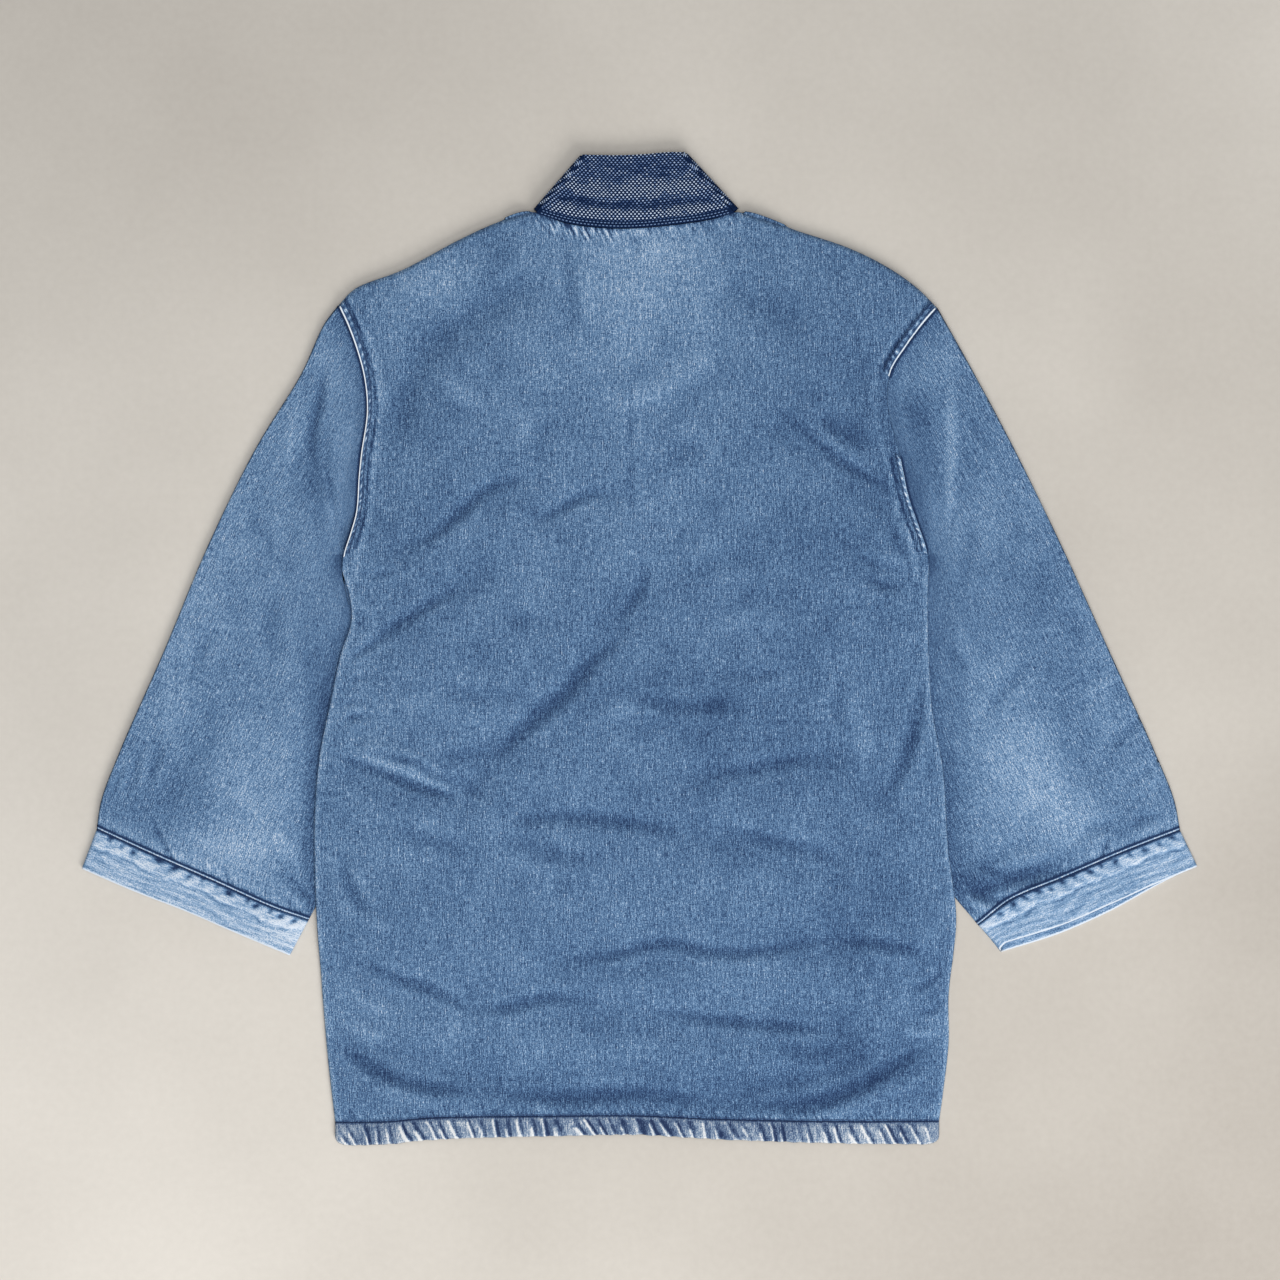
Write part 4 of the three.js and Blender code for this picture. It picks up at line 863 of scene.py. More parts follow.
def make_front_hem(side):
    """A front's turned hem, flat on the floor: from the body's side to the collar, FRONT_HEM_DEPTH
    deep with a rounded outer corner, its tone roped by ripples along it."""
    sign = SIGN[side]
    start, foot = BODY_EDGES[side](np.array([0.0]))[0]
    stop = front_inner_edge(side)[0][0] + sign * COLLAR_GAP
    close = CLOSE * BODY_WIDTH
    d = np.r_[close, np.linspace(close[-1], abs(start - stop), 190)[1:]][None]
    down = np.linspace(0, 1, 14)[:, None]
    x = start - sign * d + 0 * down
    depth = FRONT_HEM_DEPTH - turn(d, *FRONT_HEM_CORNER)
    y = mix(foot, FRONT_FOOT_Y, d / abs(start - stop)) - SEAM_GAP - down * depth
    height = turn(d, SIDE_TURN, seam_level(foot) - SEAM_GAP / 2) + 0 * down
    rope = ripples(x / 260 + 0.03 * down, 24, 8 + sign, 1.3)
    plan = np.stack([x, y], -1)
    grid = raised(plan, height)
    # Painted shade in the seam at the top of the band.
    tone = 1.2 * (rope - 0.42) * smooth(down, 0.02, 0.3) - 1.0 * bell(down, 0, 0.06)
    if side == "right":
        grid, plan, tone = grid[:, ::-1], plan[:, ::-1], tone[:, ::-1]
    return wall(f"hem_front_{side}_turned", grid, HEM_CLOTH, hem_denim, cloth_map(plan), tone=tone)


# The collar band

# The lines that the band folds over at each side, sewn end first, and its free edge between them.
FOLD_LEFT = ((-89, 370), (-50, 415))
FOLD_RIGHT = ((83, 370.7), (40, 417))
CREST = [(-14, 414.5), (6, 415.5), (24, 417)]


def collar_fold(fold, sign):
    """A half turn about the fold line: reach = radius (sin a - 1), height = radius (1 - cos a)."""
    radius, angles = COLLAR_TOP / 2, np.radians(np.linspace(0, 180, FOLD_ROWS))
    sewn, free = np.array(fold, float)
    along = (free - sewn) / np.linalg.norm(free - sewn)
    out = sign * np.array([along[1], -along[0]])
    move = (radius * (np.sin(angles) - 1))[:, None] * out
    return sewn + move, free + move, radius * (1 - np.cos(angles))


def collar_front(side):
    """The band's sewn and free edges up one front, from its foot to just short of the fold."""
    sign = SIGN[side]
    free = route([(sign * CENTRE_GAP / 2, COLLAR_BOTTOM), (sign * CENTRE_GAP / 2, -190),
                  (sign * CENTRE_GAP / 2, 10), (sign * CENTRE_GAP / 2, 180),
                  (sign * (CENTRE_GAP / 2 + 1), 262), (sign * 10, 330),
                  (-46, 408) if side == "left" else (37, 410)])
    sewn = route([(sign * (CENTRE_GAP / 2 + COLLAR_WIDTH), COLLAR_BOTTOM), *front_inner_edge(side)[1:-1],
                  (-84, 360) if side == "left" else (79, 360)])
    share = np.r_[np.linspace(0, 0.6, 40), np.linspace(0.6, 0.985, 46)[1:]]
    return sewn(share), free(share), 0 * share


def make_collar():
    """One doubled band: rows along it from the left front's foot over the back of the neck to the
    right front's foot, columns from the sewn edge to the free edge. On the neck stretch the seam
    allowance inside lifts a ridge near the sewn edge, which puckers unevenly. Its map runs level
    over the neck and the upper half of each fold, and on down each front by length."""
    back_share = np.linspace(0.03, 0.97, NECK_ROWS)
    neck = route([(x, y + COLLAR_CLEARANCE) for x, y in NECK_SEAM])(back_share)
    crest = route([FOLD_LEFT[1], *CREST, FOLD_RIGHT[1]])(back_share)
    left, right = collar_fold(FOLD_LEFT, -1), collar_fold(FOLD_RIGHT, 1)
    front_left, front_right = collar_front("left"), collar_front("right")
    parts = [front_left, left, (neck, crest, np.full(NECK_ROWS, float(COLLAR_TOP))),
             tuple(a[::-1] for a in right), tuple(a[::-1] for a in front_right)]
    sewn, free, top = (np.concatenate([p[k] for p in parts]) for k in range(3))
    w = np.linspace(0, 1, 56)
    plan = mix(sewn[:, None], free[:, None], w[None, :, None])
    start = len(front_left[0]) + len(left[0])
    over_neck = slice(start, start + NECK_ROWS)
    on_neck, share = np.zeros((len(sewn), 1)), np.zeros((len(sewn), 1))
    on_neck[over_neck, 0] = smooth(back_share, 0.02, 0.12) * smooth(1 - back_share, 0.02, 0.12)
    share[over_neck, 0] = back_share
    half_fold = FOLD_ROWS // 2 + 1
    first, last = start - half_fold, start + NECK_ROWS - 1 + half_fold
    width = np.linalg.norm(free - sewn, axis=1)
    width[first:last + 1] = COLLAR_DEPTH
    inward = w[None] * width[:, None]
    pucker = ripples(share, 19, 3, 1.4)
    valley = 19 - 5 * share
    ridge = (0.25 + 0.45 * pucker) * bell(inward, 9 + 2.5 * pucker, 3.4)
    dip = -0.55 * bell(inward, valley, 3.5)
    roll = 0.35 * bell(inward, 27, 5) - 0.25 * bell(inward, 38, 6) + 0.12 * np.sin(inward / 4 + 9 * share)
    binding = 0.25 * (1 - smooth(inward, 4.4, 5.2))
    relief = (ridge + dip + roll + binding - 0.35) * smooth(w[None], -0.02, 0.03)
    height = top[:, None] + on_neck * relief
    wash = bell(inward, 10.5, 4.5) * (0.5 + 0.6 * pucker) - 0.8 * bell(inward, valley, 4)
    wash = wash + 0.45 * bell(inward, 28, 6) - 0.3 * bell(inward, 44, 9)
    tone = on_neck * wash + 0.5 * smooth(w[None], 0.97, 1)
    middle = np.column_stack([mix(sewn, free, 0.5), top])
    length = np.r_[0, np.cumsum(np.linalg.norm(np.diff(middle, axis=0), axis=1))][:, None]
    round_neck = plan[..., 0].copy()
    round_neck[:first] = round_neck[first] - (length[first] - length[:first])
    round_neck[last + 1:] = round_neck[last] + (length[last + 1:] - length[last])
    uv = np.stack([round_neck * 0.001 + 1.2, inward * 0.001], -1)
    grid = raised(plan, height)
    return wall("collar_band", grid[::-1], BAND_CLOTH, collar_cloth, uv[::-1], tone=tone[::-1],
                inward=inward[::-1])


# Sleeves and cuffs

# Washed and deep patches of the sleeves, and painted shade: beside the body's sides at (-270, -60),
# (262, 30) and (268, -110), beside the right armhole at (232, 196) and (236, 150), and above the right
# cuff's inner end at (320, -188) and (286, -196). Columns: centre, radii, height.
SLEEVE_WASH_AND_SHADE = [
    (-316, -110, 34, 56, 0.42), (-300, 170, 26, 60, 0.20), (-390, -20, 26, 60, 0.12),
    (-404, -130, 40, 34, -0.2), (-270, -60, 16, 90, -0.45), (-285, -160, 20, 40, -0.10),
    (-270, 160, 10, 50, -0.25), (-262, 250, 16, 30, 0.1), (-386, 60, 32, 56, 0.2),
    (-285, 132, 22, 44, -0.2), (-300, 60, 30, 40, 0.06), (-350, 100, 20, 50, 0.1),
    (-350, -160, 40, 20, 0.12), (-440, -130, 20, 30, -0.1), (324, -100, 30, 40, 0.50),
    (362, -140, 26, 26, 0.48), (300, -80, 24, 60, 0.10), (259, 170, 4, 60, 0.4),
    (282, 180, 22, 60, -0.22), (232, 196, 14, 18, -0.5), (236, 150, 14, 60, -0.5),
    (262, 30, 10, 60, -0.35), (268, -110, 10, 80, -0.35), (320, -188, 50, 13, -0.50),
    (410, -145, 26, 18, -0.25), (330, 50, 44, 60, -0.25), (300, 120, 20, 50, 0.12),
    (400, -60, 26, 50, -0.06), (286, -196, 18, 12, -0.6), (-345, -172, 54, 20, 0.5),
]


def beside_body(x, y, side):
    """How far out from the body's side a point of the sleeve lies."""
    return np.abs(x) - np.abs(row_x(SIDE_LINES[side], np.minimum(y, BELOW_ARMPIT)))


def sleeve_top(x, y, side):
    """Height of a sleeve's upper layer, level with the back at the armhole and low under the body's
    side, and its relief alone: folds, creases, and a crumple of two crossed swaying sine waves."""
    from_armhole = distance(ARMHOLE_LINES[side], x, y)
    beside = beside_body(x, y, side)
    joined, clear, away = smooth(y, 96, 130), smooth(beside, 2, 34), smooth(from_armhole, 0, 20)
    level = mix(TUCKED_TOP, SLEEVE_TOP, np.maximum(clear, joined * away))
    level = mix(mix(TUCKED_TOP, ARMHOLE_TOP, joined), level, away)
    small = creases(SLEEVE_CREASES, x, y) * smooth(beside, 2, 10) * smooth(from_armhole, 3, 9)
    large = folds(SLEEVE_FOLDS, x, y) * smooth(beside, 4, 30)
    crumple = 0.10 * (np.sin(x / 5.7 + 1.6 * np.sin(y / 8.1)) * np.sin(y / 7.3 + 1.1 * np.sin(x / 10.3))
                      + np.sin(x / 12.1 - y / 9.7 + 2 * np.sin(y / 27)) * np.sin(y / 15.3 + x / 19))
    crumple = crumple * smooth(beside, 6, 20) * smooth(from_armhole, 4, 14)
    return level + large + small + crumple, 0.3 * large + small


def ring_grid(at, under, top, tops, bottoms, depth):
    """Rings round a flattened tube, a depth in from its face: over the top, round the inner fold,
    back underneath and round the outer fold. A fold is half an ellipse, FOLD_TURN wide."""
    angle = (np.arange(7) + 0.5) / 7 * np.pi
    upper = at(tops)
    lower = under(bottoms[::-1])

    def bend(t, near, sense):
        """The turn of the fold at share t, set in towards the share near."""
        here, below, inward = at(np.array([t])), under(np.array([t])), at(np.array([near]))
        half = top(here[..., 0], here[..., 1]) / 2
        share = (angle / np.pi if sense > 0 else 1 - angle / np.pi)[None, :, None]
        edge = mix(here, below, share)
        toward = inward - edge
        toward /= np.linalg.norm(toward, axis=-1, keepdims=True)
        place = edge + toward * (depth + FOLD_TURN * (1 - np.sin(angle)))[None, :, None]
        return raised(place, half + (half - depth) * sense * np.cos(angle)[None])

    over = raised(upper, top(upper[..., 0], upper[..., 1]) - depth)
    beneath = raised(lower, np.full(lower.shape[:2], float(depth)))
    return np.concatenate([over, bend(1.0, 0.9, 1), beneath, bend(0.0, 0.1, -1)], axis=1)


def ring_map(grid, start, along):
    """Cloth map of a tube: across is the length round each ring, along is given for each ring."""
    closed = np.concatenate([grid, grid[:, :1]], axis=1)
    step = np.linalg.norm(np.diff(closed, axis=1), axis=-1)
    around = np.concatenate([np.zeros((len(grid), 1)), np.cumsum(step, axis=1)], axis=1)
    return np.stack([start + around * 0.001, along[:, None] * 0.001 + 0 * around], -1)


def tube(name, side, face, back, finish, uv, tone):
    """The closed cloth of a tube, its rings taken in the order that turns its faces out."""
    if side == "left":
        face, back, uv, tone = face[::-1], back[::-1], uv[::-1], tone[::-1]
    return shell(name, face, back, finish, uv, ring=True, tone=tone)


def make_sleeve(side):
    """A sleeve: rings from the armhole to the cuff seam. Each ring's line is a blend of the outer and
    the inner fold, bent to the armhole's curve at its head and to the cuff seam's at its end. It is
    washed in patches, with painted shade in patches beside the body's sides, the right armhole and
    the right cuff's inner end; painted highlight on ridges and painted shade in creases; painted
    shadow where it lies beside the body's side; and painted shade along the seen armhole strips and
    near the armhole. Its end is pale at the cuff seam, with painted shade in the seam 2 mm off."""
    sign = SIGN[side]
    outer, inner = route(SLEEVE_OUTER[side]), route(SLEEVE_INNER[side])
    armhole, end = route(ARMHOLES[side]), route(CUFF_SEAM[side])
    tip, tuck = np.array(ARMHOLES[side][-1], float), np.array(SLEEVE_INNER[side][0], float)
    close = np.array([0, 0.5, 1.0, 1.6, 2.3, 3.2, 4.6]) / SLEEVE_LENGTH
    s = np.r_[close, np.linspace(close[-1], 1 - close[-1], 146)[1:-1], (1 - close)[::-1]][:, None, None]

    def head(t):
        """The sleeve's sewn edge: down the armhole, then on to where its inner fold begins."""
        high = armhole(np.clip(t / TUCK_SHARE, 0, 1))
        low = mix(tip, tuck, ((t - TUCK_SHARE) / (1 - TUCK_SHARE))[..., None])
        return np.where((t < TUCK_SHARE)[..., None], high, low) + [sign * ARMHOLE_GAP, 0]

    def at(t):
        """Plan of every ring at a share t from its outer fold to its inner one."""
        ends = np.array([0.0, 1.0])
        h, e = head(ends), end(ends)
        share = t[None, :, None]
        start = head(t) - mix(h[0], h[1], t[:, None])
        stop = end(t) - mix(e[0], e[1], t[:, None])
        line = mix(outer(s[:, 0, 0])[:, None], inner(mix(s * s, s, 0.3)[:, 0, 0])[:, None], share)
        shift = sign * ARMHOLE_GAP * (1 - smooth(s, 0, 0.1)) * np.array([1, 0])
        return line + shift + start * (1 - smooth(s, 0, 0.4)) + stop * smooth(s, 0.8, 1)

    tops = np.r_[np.linspace(0, TUCK_SHARE, 118), 0.958, 0.975]
    bottoms = np.r_[np.linspace(0, TUCK_SHARE, 30), 0.975]

    def top(x, y):
        """Height of the upper layer."""
        return sleeve_top(x, y, side)[0]

    face, back = (ring_grid(at, at, top, tops, bottoms, depth) for depth in (0.0, CLOTH))
    x, y = face[..., 0], face[..., 1]
    _, relief = sleeve_top(x, y, side)
    near_cuff = distance(sampled(CUFF_SEAM[side]), x, y)
    beside = beside_body(x, y, side)
    # Painted highlight on ridges and painted shade in creases: the tone follows the relief.
    tone = tone_patches(x, y, SLEEVE_WASH_AND_SHADE) + 0.42 * np.clip(relief, -1.6, 1.2)
    tucked = (y > TUCKED_SPAN[0]) & (y < TUCKED_SPAN[1])
    # Painted shadow of the body's side on the sleeve beside it.
    tone = tone - 0.55 * (1 - smooth(beside, 0, 16)) * tucked
    seam = distance(ARMHOLE_LINES[side], x, y)
    # Painted shade: a dark gap line beside the seen armhole strips, and soft shade near the armhole.
    tone = tone - 2.4 * bell(seam, 0.3, 1.3) * stripped(x, y) - 0.45 * bell(seam, 0, 8) * (y > 60)
    # Painted shade in the gap at the cuff seam.
    tone = tone - 3.2 * bell(near_cuff, 2.1, 0.9)
    tone = tone + 1.7 * bell(near_cuff, 0.6, 0.5) + 0.25 * bell(near_cuff, 7, 4)
    uv = ring_map(face, 0.0, s[:, 0, 0] * SLEEVE_LENGTH)
    return tube(f"sleeve_{side}_cloth", side, face, back, sleeve_denim, uv, tone)


# Pucker dents under a cuff's seam, darkened with painted shade: share along the cuff, half width, depth.
CUFF_SPOTS = {
    "left": [(0.07, 0.012, 0.9), (0.13, 0.010, 0.6), (0.185, 0.014, 1.0), (0.30, 0.022, 1.1),
             (0.375, 0.016, 1.1), (0.45, 0.010, 0.7), (0.505, 0.010, 0.6), (0.575, 0.010, 0.5),
             (0.635, 0.020, 1.2), (0.72, 0.010, 0.8), (0.765, 0.012, 1.0), (0.83, 0.010, 0.8),
             (0.885, 0.014, 1.1), (0.945, 0.012, 0.9)],
    "right": [(0.05, 0.014, 0.8), (0.12, 0.010, 0.6), (0.19, 0.016, 0.9), (0.26, 0.010, 0.7),
              (0.335, 0.014, 1.0), (0.40, 0.010, 0.8), (0.46, 0.014, 0.9), (0.53, 0.010, 0.7),
              (0.59, 0.012, 0.9), (0.655, 0.010, 0.8), (0.71, 0.014, 1.0), (0.78, 0.010, 0.8),
              (0.84, 0.014, 1.0), (0.91, 0.012, 0.9)],
}
CUFF_WASH = [(-300, -240, 30, 20, 0.5), (400, -210, 70, 40, -0.3), (-440, -165, 20, 12, 0.2)]


def make_cuff(side):
    """A flattened band below the cuff seam. Its first third is raised over the seam allowance and
    dented in uneven spots along the sewing, with a scalloped lower edge; the rest lies flatter."""
    sign = SIGN[side]
    start, end = route(CUFF_SEAM[side]), route(CUFF_END[side])
    length = np.linalg.norm(end(np.array([0.5])) - start(np.array([0.5])))
    s = np.r_[0, 0.015, np.linspace(0.035, 0.6, 30), np.linspace(0.6, 0.95, 14)[1:], 0.965, 0.98, 1]
    s = s[:, None, None]
    share = mix(SEAM_GAP / length, 1, s)

    def at(t):
        """Plan of every ring of the upper layer at a share t along the cuff."""
        return mix(start(t)[None], end(t)[None], share)

    def under(t):
        """The same for the under layer, which shows below the upper one where it is longer."""
        longer = UNDER_CUFF[side] * smooth(t, 0, 0.5)[None, :, None] * share
        return at(t) + longer * np.array([-sign * 0.4, -0.92])

    ends = at(np.array([0.0, 1.0]))

    def along(x):
        """The share along the cuff at a place x of each ring."""
        return np.clip((x - ends[:, :1, 0]) / (ends[:, 1:, 0] - ends[:, :1, 0]), 0, 1)

    deep = s[:, :, 0]

    def form(t):
        """Relief and tone at a share t along the cuff: the raised step over the seam allowance, its
        dents with painted shade in them and scalloped edge with a painted shadow below it, slanting
        ripples across it and streaks on the rest, and painted shade in the cuff seam at its top."""
        slid = t + 0.05 * (deep - 0.12)
        spots = sum(depth * bell(slid, place, width) for place, width, depth in CUFF_SPOTS[side])
        low = 0.12 + 0.035 * np.sin(t * 43 + 2 * np.sin(t * 17))
        scallop = 0.035 * np.sin(t * 23 + 1.1 * np.sin(t * 9)) + 0.014 * np.sin(t * 57)
        scallop = scallop + 0.03 * np.minimum(spots, 1)
        step = 1 - smooth(deep, 0.31 + scallop, 0.41 + scallop)
        fold = 0.25 + 0.75 * np.sin(t * 15 + 1.7 * np.sin(t * 7)) ** 2
        across = np.sin(t * 63 + deep * 14 + 2 * np.sin(t * 13))
        height = 0.75 * step * smooth(deep, 0, 0.08) - 0.95 * spots * bell(deep, low, 0.09)
        height = height + 0.12 * across * bell(deep, 0.3, 0.16)
        height = height + 0.14 * np.sin(deep * 34 + 3 * np.sin(t * 9)) * smooth(deep, 0.45, 0.6)
        streaky = 0.35 * np.sin(deep * 31 + 2.4 * np.sin(t * 11 + deep * 4)) * np.sin(t * 17 + deep * 5)
        # Painted shade in the dents under the seam.
        tone = 0.22 * step - 2.4 * spots * bell(deep, low, 0.07) + 0.35 * across * bell(deep, 0.26, 0.12)
        tone = tone + 0.5 * fold * bell(deep, 0.335 + scallop, 0.03)
        # Painted shadow below the raised step's edge.
        tone = tone - 0.85 * fold * bell(deep, 0.425 + scallop, 0.035) + streaky * smooth(deep, 0.42, 0.5)
        # Painted shade in the cuff seam at the top of the band.
        tone = tone + 2.6 * smooth(deep, 0.955, 0.99) - 3.2 * bell(deep, 0.01, 0.05)
        return height - 0.1, tone

    def top(x, y):
        """Height of the upper layer: the sleeve's level, with the relief on whole rings."""
        here = form(along(x))[0] if x.shape[0] == len(deep) else 0
        return sleeve_top(x, y, side)[0] + here

    tops = np.linspace(0.015, 0.985, 230)
    bottoms = np.linspace(0.015, 0.985, 40)
    face, back = (ring_grid(at, under, top, tops, bottoms, depth) for depth in (0.0, CLOTH))
    x, y = face[..., 0], face[..., 1]
    tone = form(along(x))[1] + tone_patches(x, y, CUFF_WASH)
    # The under layer is painted a little darker, as shade under the upper one, from halfway round the inner
    # fold.
    tone[:, len(tops) + 3:] -= 0.35
    uv = ring_map(face, 0.0, s[:, 0, 0] * length)[..., ::-1]
    return tube(f"cuff_{side}_cloth", side, face, back, cuff_denim, uv, tone)


# Felled armhole seams and topstitching

# Columns of a strip by their inset from the armhole, closer at both edges.
STRIP_COLUMNS = [0.4, 0.5, 0.8, 1.2, 1.6, 2.0, 2.5, 3.1, 3.7, 4.3, 4.9, 5.4, 5.9, 6.3, 6.7, STRIP_WIDTH]


def strip_plan(side, insets, start, stop, rows):
    """Plan of lines down an armhole, each at its inset from the seam, between two shares of it."""
    across = insets / BODY_WIDTH if side == "left" else 1 - insets / BODY_WIDTH
    up = SIDE_SHARE + (1 - SIDE_SHARE) * np.linspace(start, stop, rows)
    return body_plan(np.concatenate([[0.0], np.sort(across), [1.0]]), up)[:, 1:-1]


def make_armhole_strip(name, side, start, stop, seed, edge_white, bead_width=0.8):
    """A raised strip on the back's own surface, from 0.4 to STRIP_WIDTH in from the armhole. Its
    sleeve edge is a worn bead; between the two stitch lines it puckers in uneven ovals."""
    inset = np.array(STRIP_COLUMNS)
    plan = strip_plan(side, inset, start, stop, 260)
    d = (inset if side == "left" else inset[::-1])[None]
    height, _ = back_height(plan[..., 0], plan[..., 1])
    line = plan[:, plan.shape[1] // 2]
    length = np.r_[0, np.cumsum(np.linalg.norm(np.diff(line, axis=0), axis=1))]
    share = (length / length[-1])[:, None]
    count = max(4, round(length[-1] / 6.6))
    oval = ripples(share, count, seed, 1.3) * bell(d, 4.2, 1.8)
    bead = bell(d, 1.1 * bead_width, bead_width)
    stitch_line = sum(bell(d, row, 0.45) for row in STRIP_STITCHES)
    up = SEAM_GAP + STRIP_CLOTH + 0.4 * oval + 0.25 * bead - 0.12 * stitch_line
    tone = edge_white * bead + 2.4 * oval - 0.95 - 1.0 * stitch_line
    grid = raised(plan, height + up)
    uv = np.stack([0 * length[:, None] + d * 0.001, length[:, None] * 0.001 + 0 * d], -1)
    return wall(name, grid, STRIP_CLOTH, seam_denim, uv, tone=tone)


def thread_finish(name, colour):
    """Thread: fine mottling in place of its twist, and a little uneven wear."""
    material, tree, shader, place = start_finish(name, roughness=0.8)
    twist = weave_noise(tree, place, 0.5, 0.35, 1.0)
    worn = weave_noise(tree, place, 9.0, 9.0, 2.0, 4.0)
    shade = calc(tree, "ADD", calc(tree, "MULTIPLY", twist, 0.6), calc(tree, "MULTIPLY", worn, 0.4))
    low, high = (tuple(c * k for c in colour) for k in (0.7, 1.3))
    tree.links.new(ramp(tree, shade, [(0.3, low), (0.7, high)]), shader.inputs["Base Color"])
    return material


collar_thread = thread_finish("collar thread", linear(122, 152, 194))
denim_thread = thread_finish("denim thread", linear(70, 92, 128))


def stitch_row(name, path, pitch, share_on, radius, finish):
    """Stitches along a path of points: each is a short closed capsule, share_on of the pitch long,
    six sides round and six rings long. The path lies on the cloth, so its lower half is sunk in."""
    step = np.linalg.norm(np.diff(path, axis=0), axis=1)
    length = np.r_[0, np.cumsum(step)]
    count = int(length[-1] // pitch)
    t = np.array([0, 0.04, 0.2, 0.8, 0.96, 1])
    girth = np.array([0.05, 0.6, 1, 1, 0.6, 0.05])
    place = (np.arange(count)[:, None] + 0.5 - share_on / 2 + t[None] * share_on) * pitch
    centre = np.stack([np.interp(place, length, path[:, k]) for k in range(3)], -1)
    along = centre[:, -1] - centre[:, 0]
    along /= np.linalg.norm(along, axis=-1, keepdims=True)
    side = np.cross(along, [0, 0, 1.0])
    side /= np.linalg.norm(side, axis=-1, keepdims=True)
    upward = np.cross(side, along)
    angle = np.arange(6) / 6 * 2 * np.pi
    ring = (np.cos(angle)[:, None] * side[:, None] + np.sin(angle)[:, None] * upward[:, None] * 0.8)
    points = (centre[:, :, None] + ring[:, None] * (radius * girth)[None, :, None, None])
    rings, sides = len(t), 6
    first = (np.arange(count) * rings * sides)[:, None, None]
    r, a = np.meshgrid(np.arange(rings - 1), np.arange(sides), indexing="ij")
    b = (a + 1) % sides
    quads = np.stack([r * sides + a, (r + 1) * sides + a, (r + 1) * sides + b, r * sides + b], -1)
    quads = quads.reshape(1, -1, 4)
    caps = np.array([[0, 1, 2, 3], [0, 3, 4, 5]])
    ends = np.concatenate([caps, caps[:, ::-1] + (rings - 1) * sides])[None]
    faces = (np.concatenate([quads, ends], 1) + first).reshape(-1, 4)
    flat = points.reshape(-1, 3)
    return put_mesh(name, flat, faces, finish, flat[faces][..., :2] * 0.001 + 0.5)


def make_stitching():
    """Topstitching: two rows on each armhole strip, two on the collar's binding, one at the hem."""
    rows = []
    for side, start, stop, label in (("left", 0.06, 0.97, "left"), ("right", 0.71, 0.97, "right_upper"),
                                     ("right", 0.06, 0.39, "right_lower")):
        for inset, which in zip(STRIP_STITCHES, ("outer", "inner")):
            plan = strip_plan(side, np.array([inset]), start, stop, 300)[:, 0]
            path = raised(plan, back_height(plan[:, 0], plan[:, 1])[0] + SEAM_GAP + STRIP_CLOTH - 0.05)
            name = f"armhole_stitches_{label}_{which}"
            rows.append(stitch_row(name, path, 3.0, 0.72, 0.28, denim_thread))
    share = np.linspace(0.045, 0.955, 300)
    neck = route([(x, y + COLLAR_CLEARANCE) for x, y in NECK_SEAM])(share)
    crest = route([FOLD_LEFT[1], *CREST, FOLD_RIGHT[1]])(share)
    for inward, which in ((1.5, "lower"), (3.9, "upper")):
        width = np.linalg.norm(crest - neck, axis=1)[:, None]
        plan = neck + (crest - neck) * inward / width
        height = np.full(len(plan), COLLAR_TOP + 0.02)
        path = raised(plan, height)
        rows.append(stitch_row(f"collar_stitches_{which}", path, 3.1, 0.6, 0.4, collar_thread))
    x = np.linspace(-250, 247, 600)
    y = row_y(HEM_SAMPLES, x) + 1.3
    path = np.stack([x, y, back_height(x, y)[0] + 0.05], -1)
    rows.append(stitch_row("hem_stitches", path, 3.2, 0.75, 0.3, denim_thread))
    return rows


# Put together

back = make_back()
fronts = {side: make_front(side) for side in SIDES}
hem = make_back_hem()
front_hems = {side: make_front_hem(side) for side in SIDES}
collar = make_collar()
sleeves = {side: make_sleeve(side) for side in SIDES}
cuffs = {side: make_cuff(side) for side in SIDES}
# The strips: name, side, share of the armhole from and to, seed, whiteness of the worn edge.
strips = {
    "armhole_seam_left": make_armhole_strip(
        "armhole_fell_left", "left", 0.05, 0.992, 21, 4.6),
    "armhole_seam_right_upper": make_armhole_strip(
        "armhole_fell_right_upper", "right", 0.7, 0.992, 22, 3.4),
    "armhole_seam_right_lower": make_armhole_strip(
        "armhole_fell_right_lower", "right", 0.05, 0.4, 23, 1.7, bead_width=1.7),
}
stitching = make_stitching()

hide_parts("back")
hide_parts("hem_back")
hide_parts("collar")
for side in SIDES:
    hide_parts(f"front_{side}")
    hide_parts(f"hem_front_{side}")
    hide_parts(f"sleeve_{side}")
    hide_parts(f"cuff_{side}")
for node, strip in strips.items():
    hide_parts(node)


# Camera, floor and light

# Metres, from here on. The picture is VIEW_WIDTH wide at the cloth's middle height.
VIEW_WIDTH, VIEW_CENTRE, CAMERA_HEIGHT, CLOTH_MIDDLE = 1.075, (0.0004, 0.008), 2.4, 0.006
SENSOR, FLOOR_REACH = 36, 6
FLOOR_STOPS = [(0.0, linear(182, 175, 166)), (0.5, linear(205, 199, 190)), (1.0, linear(226, 220, 211))]

lens = bpy.data.cameras.new("camera")
lens.sensor_width = SENSOR
lens.lens = SENSOR * (CAMERA_HEIGHT - CLOTH_MIDDLE) / VIEW_WIDTH
lens.clip_end = 20
camera = bpy.data.objects.new("camera", lens)
camera.location = (*VIEW_CENTRE, CAMERA_HEIGHT)
bpy.context.scene.collection.objects.link(camera)
bpy.context.scene.camera = camera


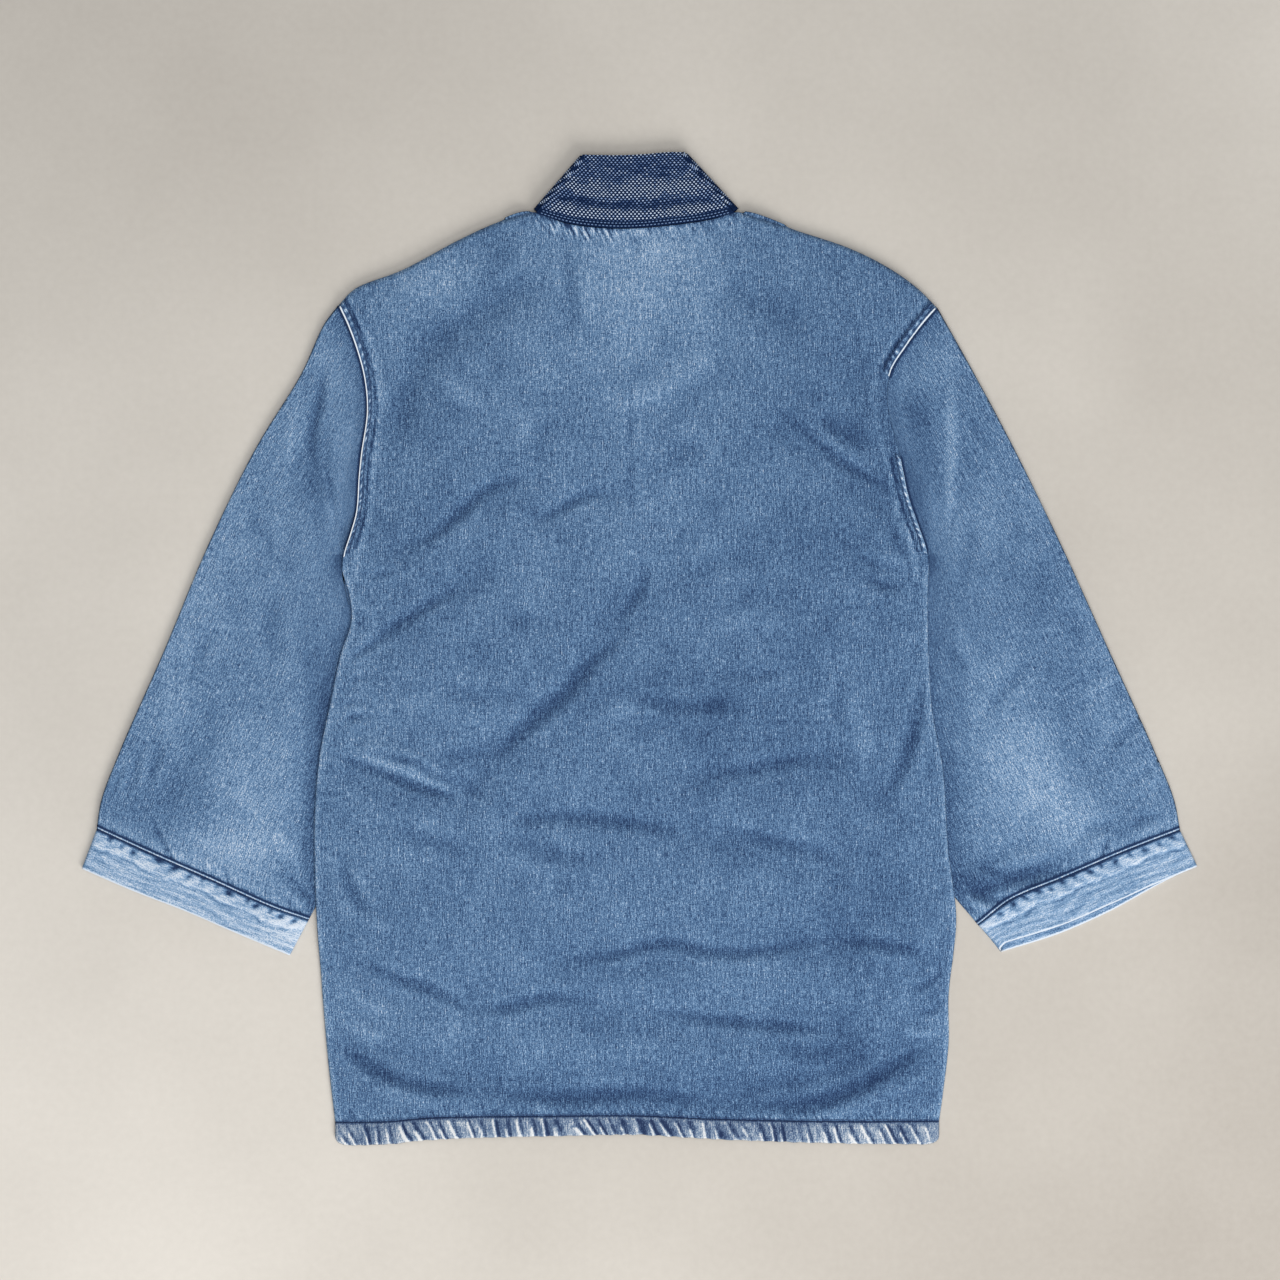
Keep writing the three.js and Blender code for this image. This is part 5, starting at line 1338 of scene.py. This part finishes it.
def make_floor():
    """A plain pale floor: one flat square with soft cloudy stains. It is paler to the left in front of
    the collar, and to the right behind it."""
    material = bpy.data.materials.new("pale floor")
    material.use_nodes = True
    tree = material.node_tree
    tree.nodes.clear()
    shader = put(tree, "ShaderNodeBsdfPrincipled", {"Roughness": 0.7, "Specular IOR Level": 0.2})
    out = put(tree, "ShaderNodeOutputMaterial")
    tree.links.new(shader.outputs[0], out.inputs[0])
    place = put(tree, "ShaderNodeTexCoord").outputs["Object"]
    clouds = put(tree, "ShaderNodeTexNoise", {"Vector": place, "Scale": 3.2, "Detail": 4.0}).outputs[0]
    specks = put(tree, "ShaderNodeTexNoise", {"Vector": place, "Scale": 160.0, "Detail": 2.0}).outputs[0]
    shade = calc(tree, "ADD", calc(tree, "MULTIPLY", clouds, 0.8), calc(tree, "MULTIPLY", specks, 0.2))
    split = put(tree, "ShaderNodeSeparateXYZ", {0: place})
    lean = calc(tree, "MULTIPLY", split.outputs[0], calc(tree, "SUBTRACT", split.outputs[1], 0.35))
    lean = calc(tree, "MINIMUM", calc(tree, "MAXIMUM", lean, -0.4), 0.4)
    shade = calc(tree, "MULTIPLY_ADD", lean, 1.1, shade)
    tree.links.new(ramp(tree, shade, FLOOR_STOPS), shader.inputs["Base Color"])
    mesh = bpy.data.meshes.new("floor")
    corners = [(x * FLOOR_REACH, y * FLOOR_REACH, 0) for x, y in ((-1, -1), (1, -1), (1, 1), (-1, 1))]
    mesh.from_pydata(corners, [], [(0, 1, 2, 3)])
    mesh.materials.append(material)
    slab = bpy.data.objects.new("floor", mesh)
    bpy.context.scene.collection.objects.link(slab)


def add_light(name, place, aim, size, power, colour):
    """A square soft light at a place, turned to its aim, both in metres."""
    lamp = bpy.data.lights.new(name, "AREA")
    lamp.size = size
    lamp.energy = power
    lamp.color = colour
    holder = bpy.data.objects.new(name, lamp)
    holder.location = place
    direction = np.array(aim, float) - np.array(place, float)
    tilt = math.atan2(math.hypot(direction[0], direction[1]), -direction[2])
    heading = math.atan2(direction[1], direction[0]) - math.pi / 2
    holder.rotation_euler = (tilt, 0, heading)
    bpy.context.scene.collection.objects.link(holder)


make_floor()
add_light("window light", (1.0, -2.2, 1.9), (0, 0, 0), 1.6, 60, (1.0, 0.985, 0.965))
add_light("ceiling light", (0.1, -0.2, 3.2), (0, 0, 0), 2.6, 52, (0.985, 0.99, 1.0))

world = bpy.data.worlds.new("room")
world.use_nodes = True
world.node_tree.nodes["Background"].inputs[0].default_value = (0.86, 0.88, 0.9, 1)
world.node_tree.nodes["Background"].inputs[1].default_value = 0.30
bpy.context.scene.world = world
bpy.context.scene.view_settings.view_transform = "Standard"
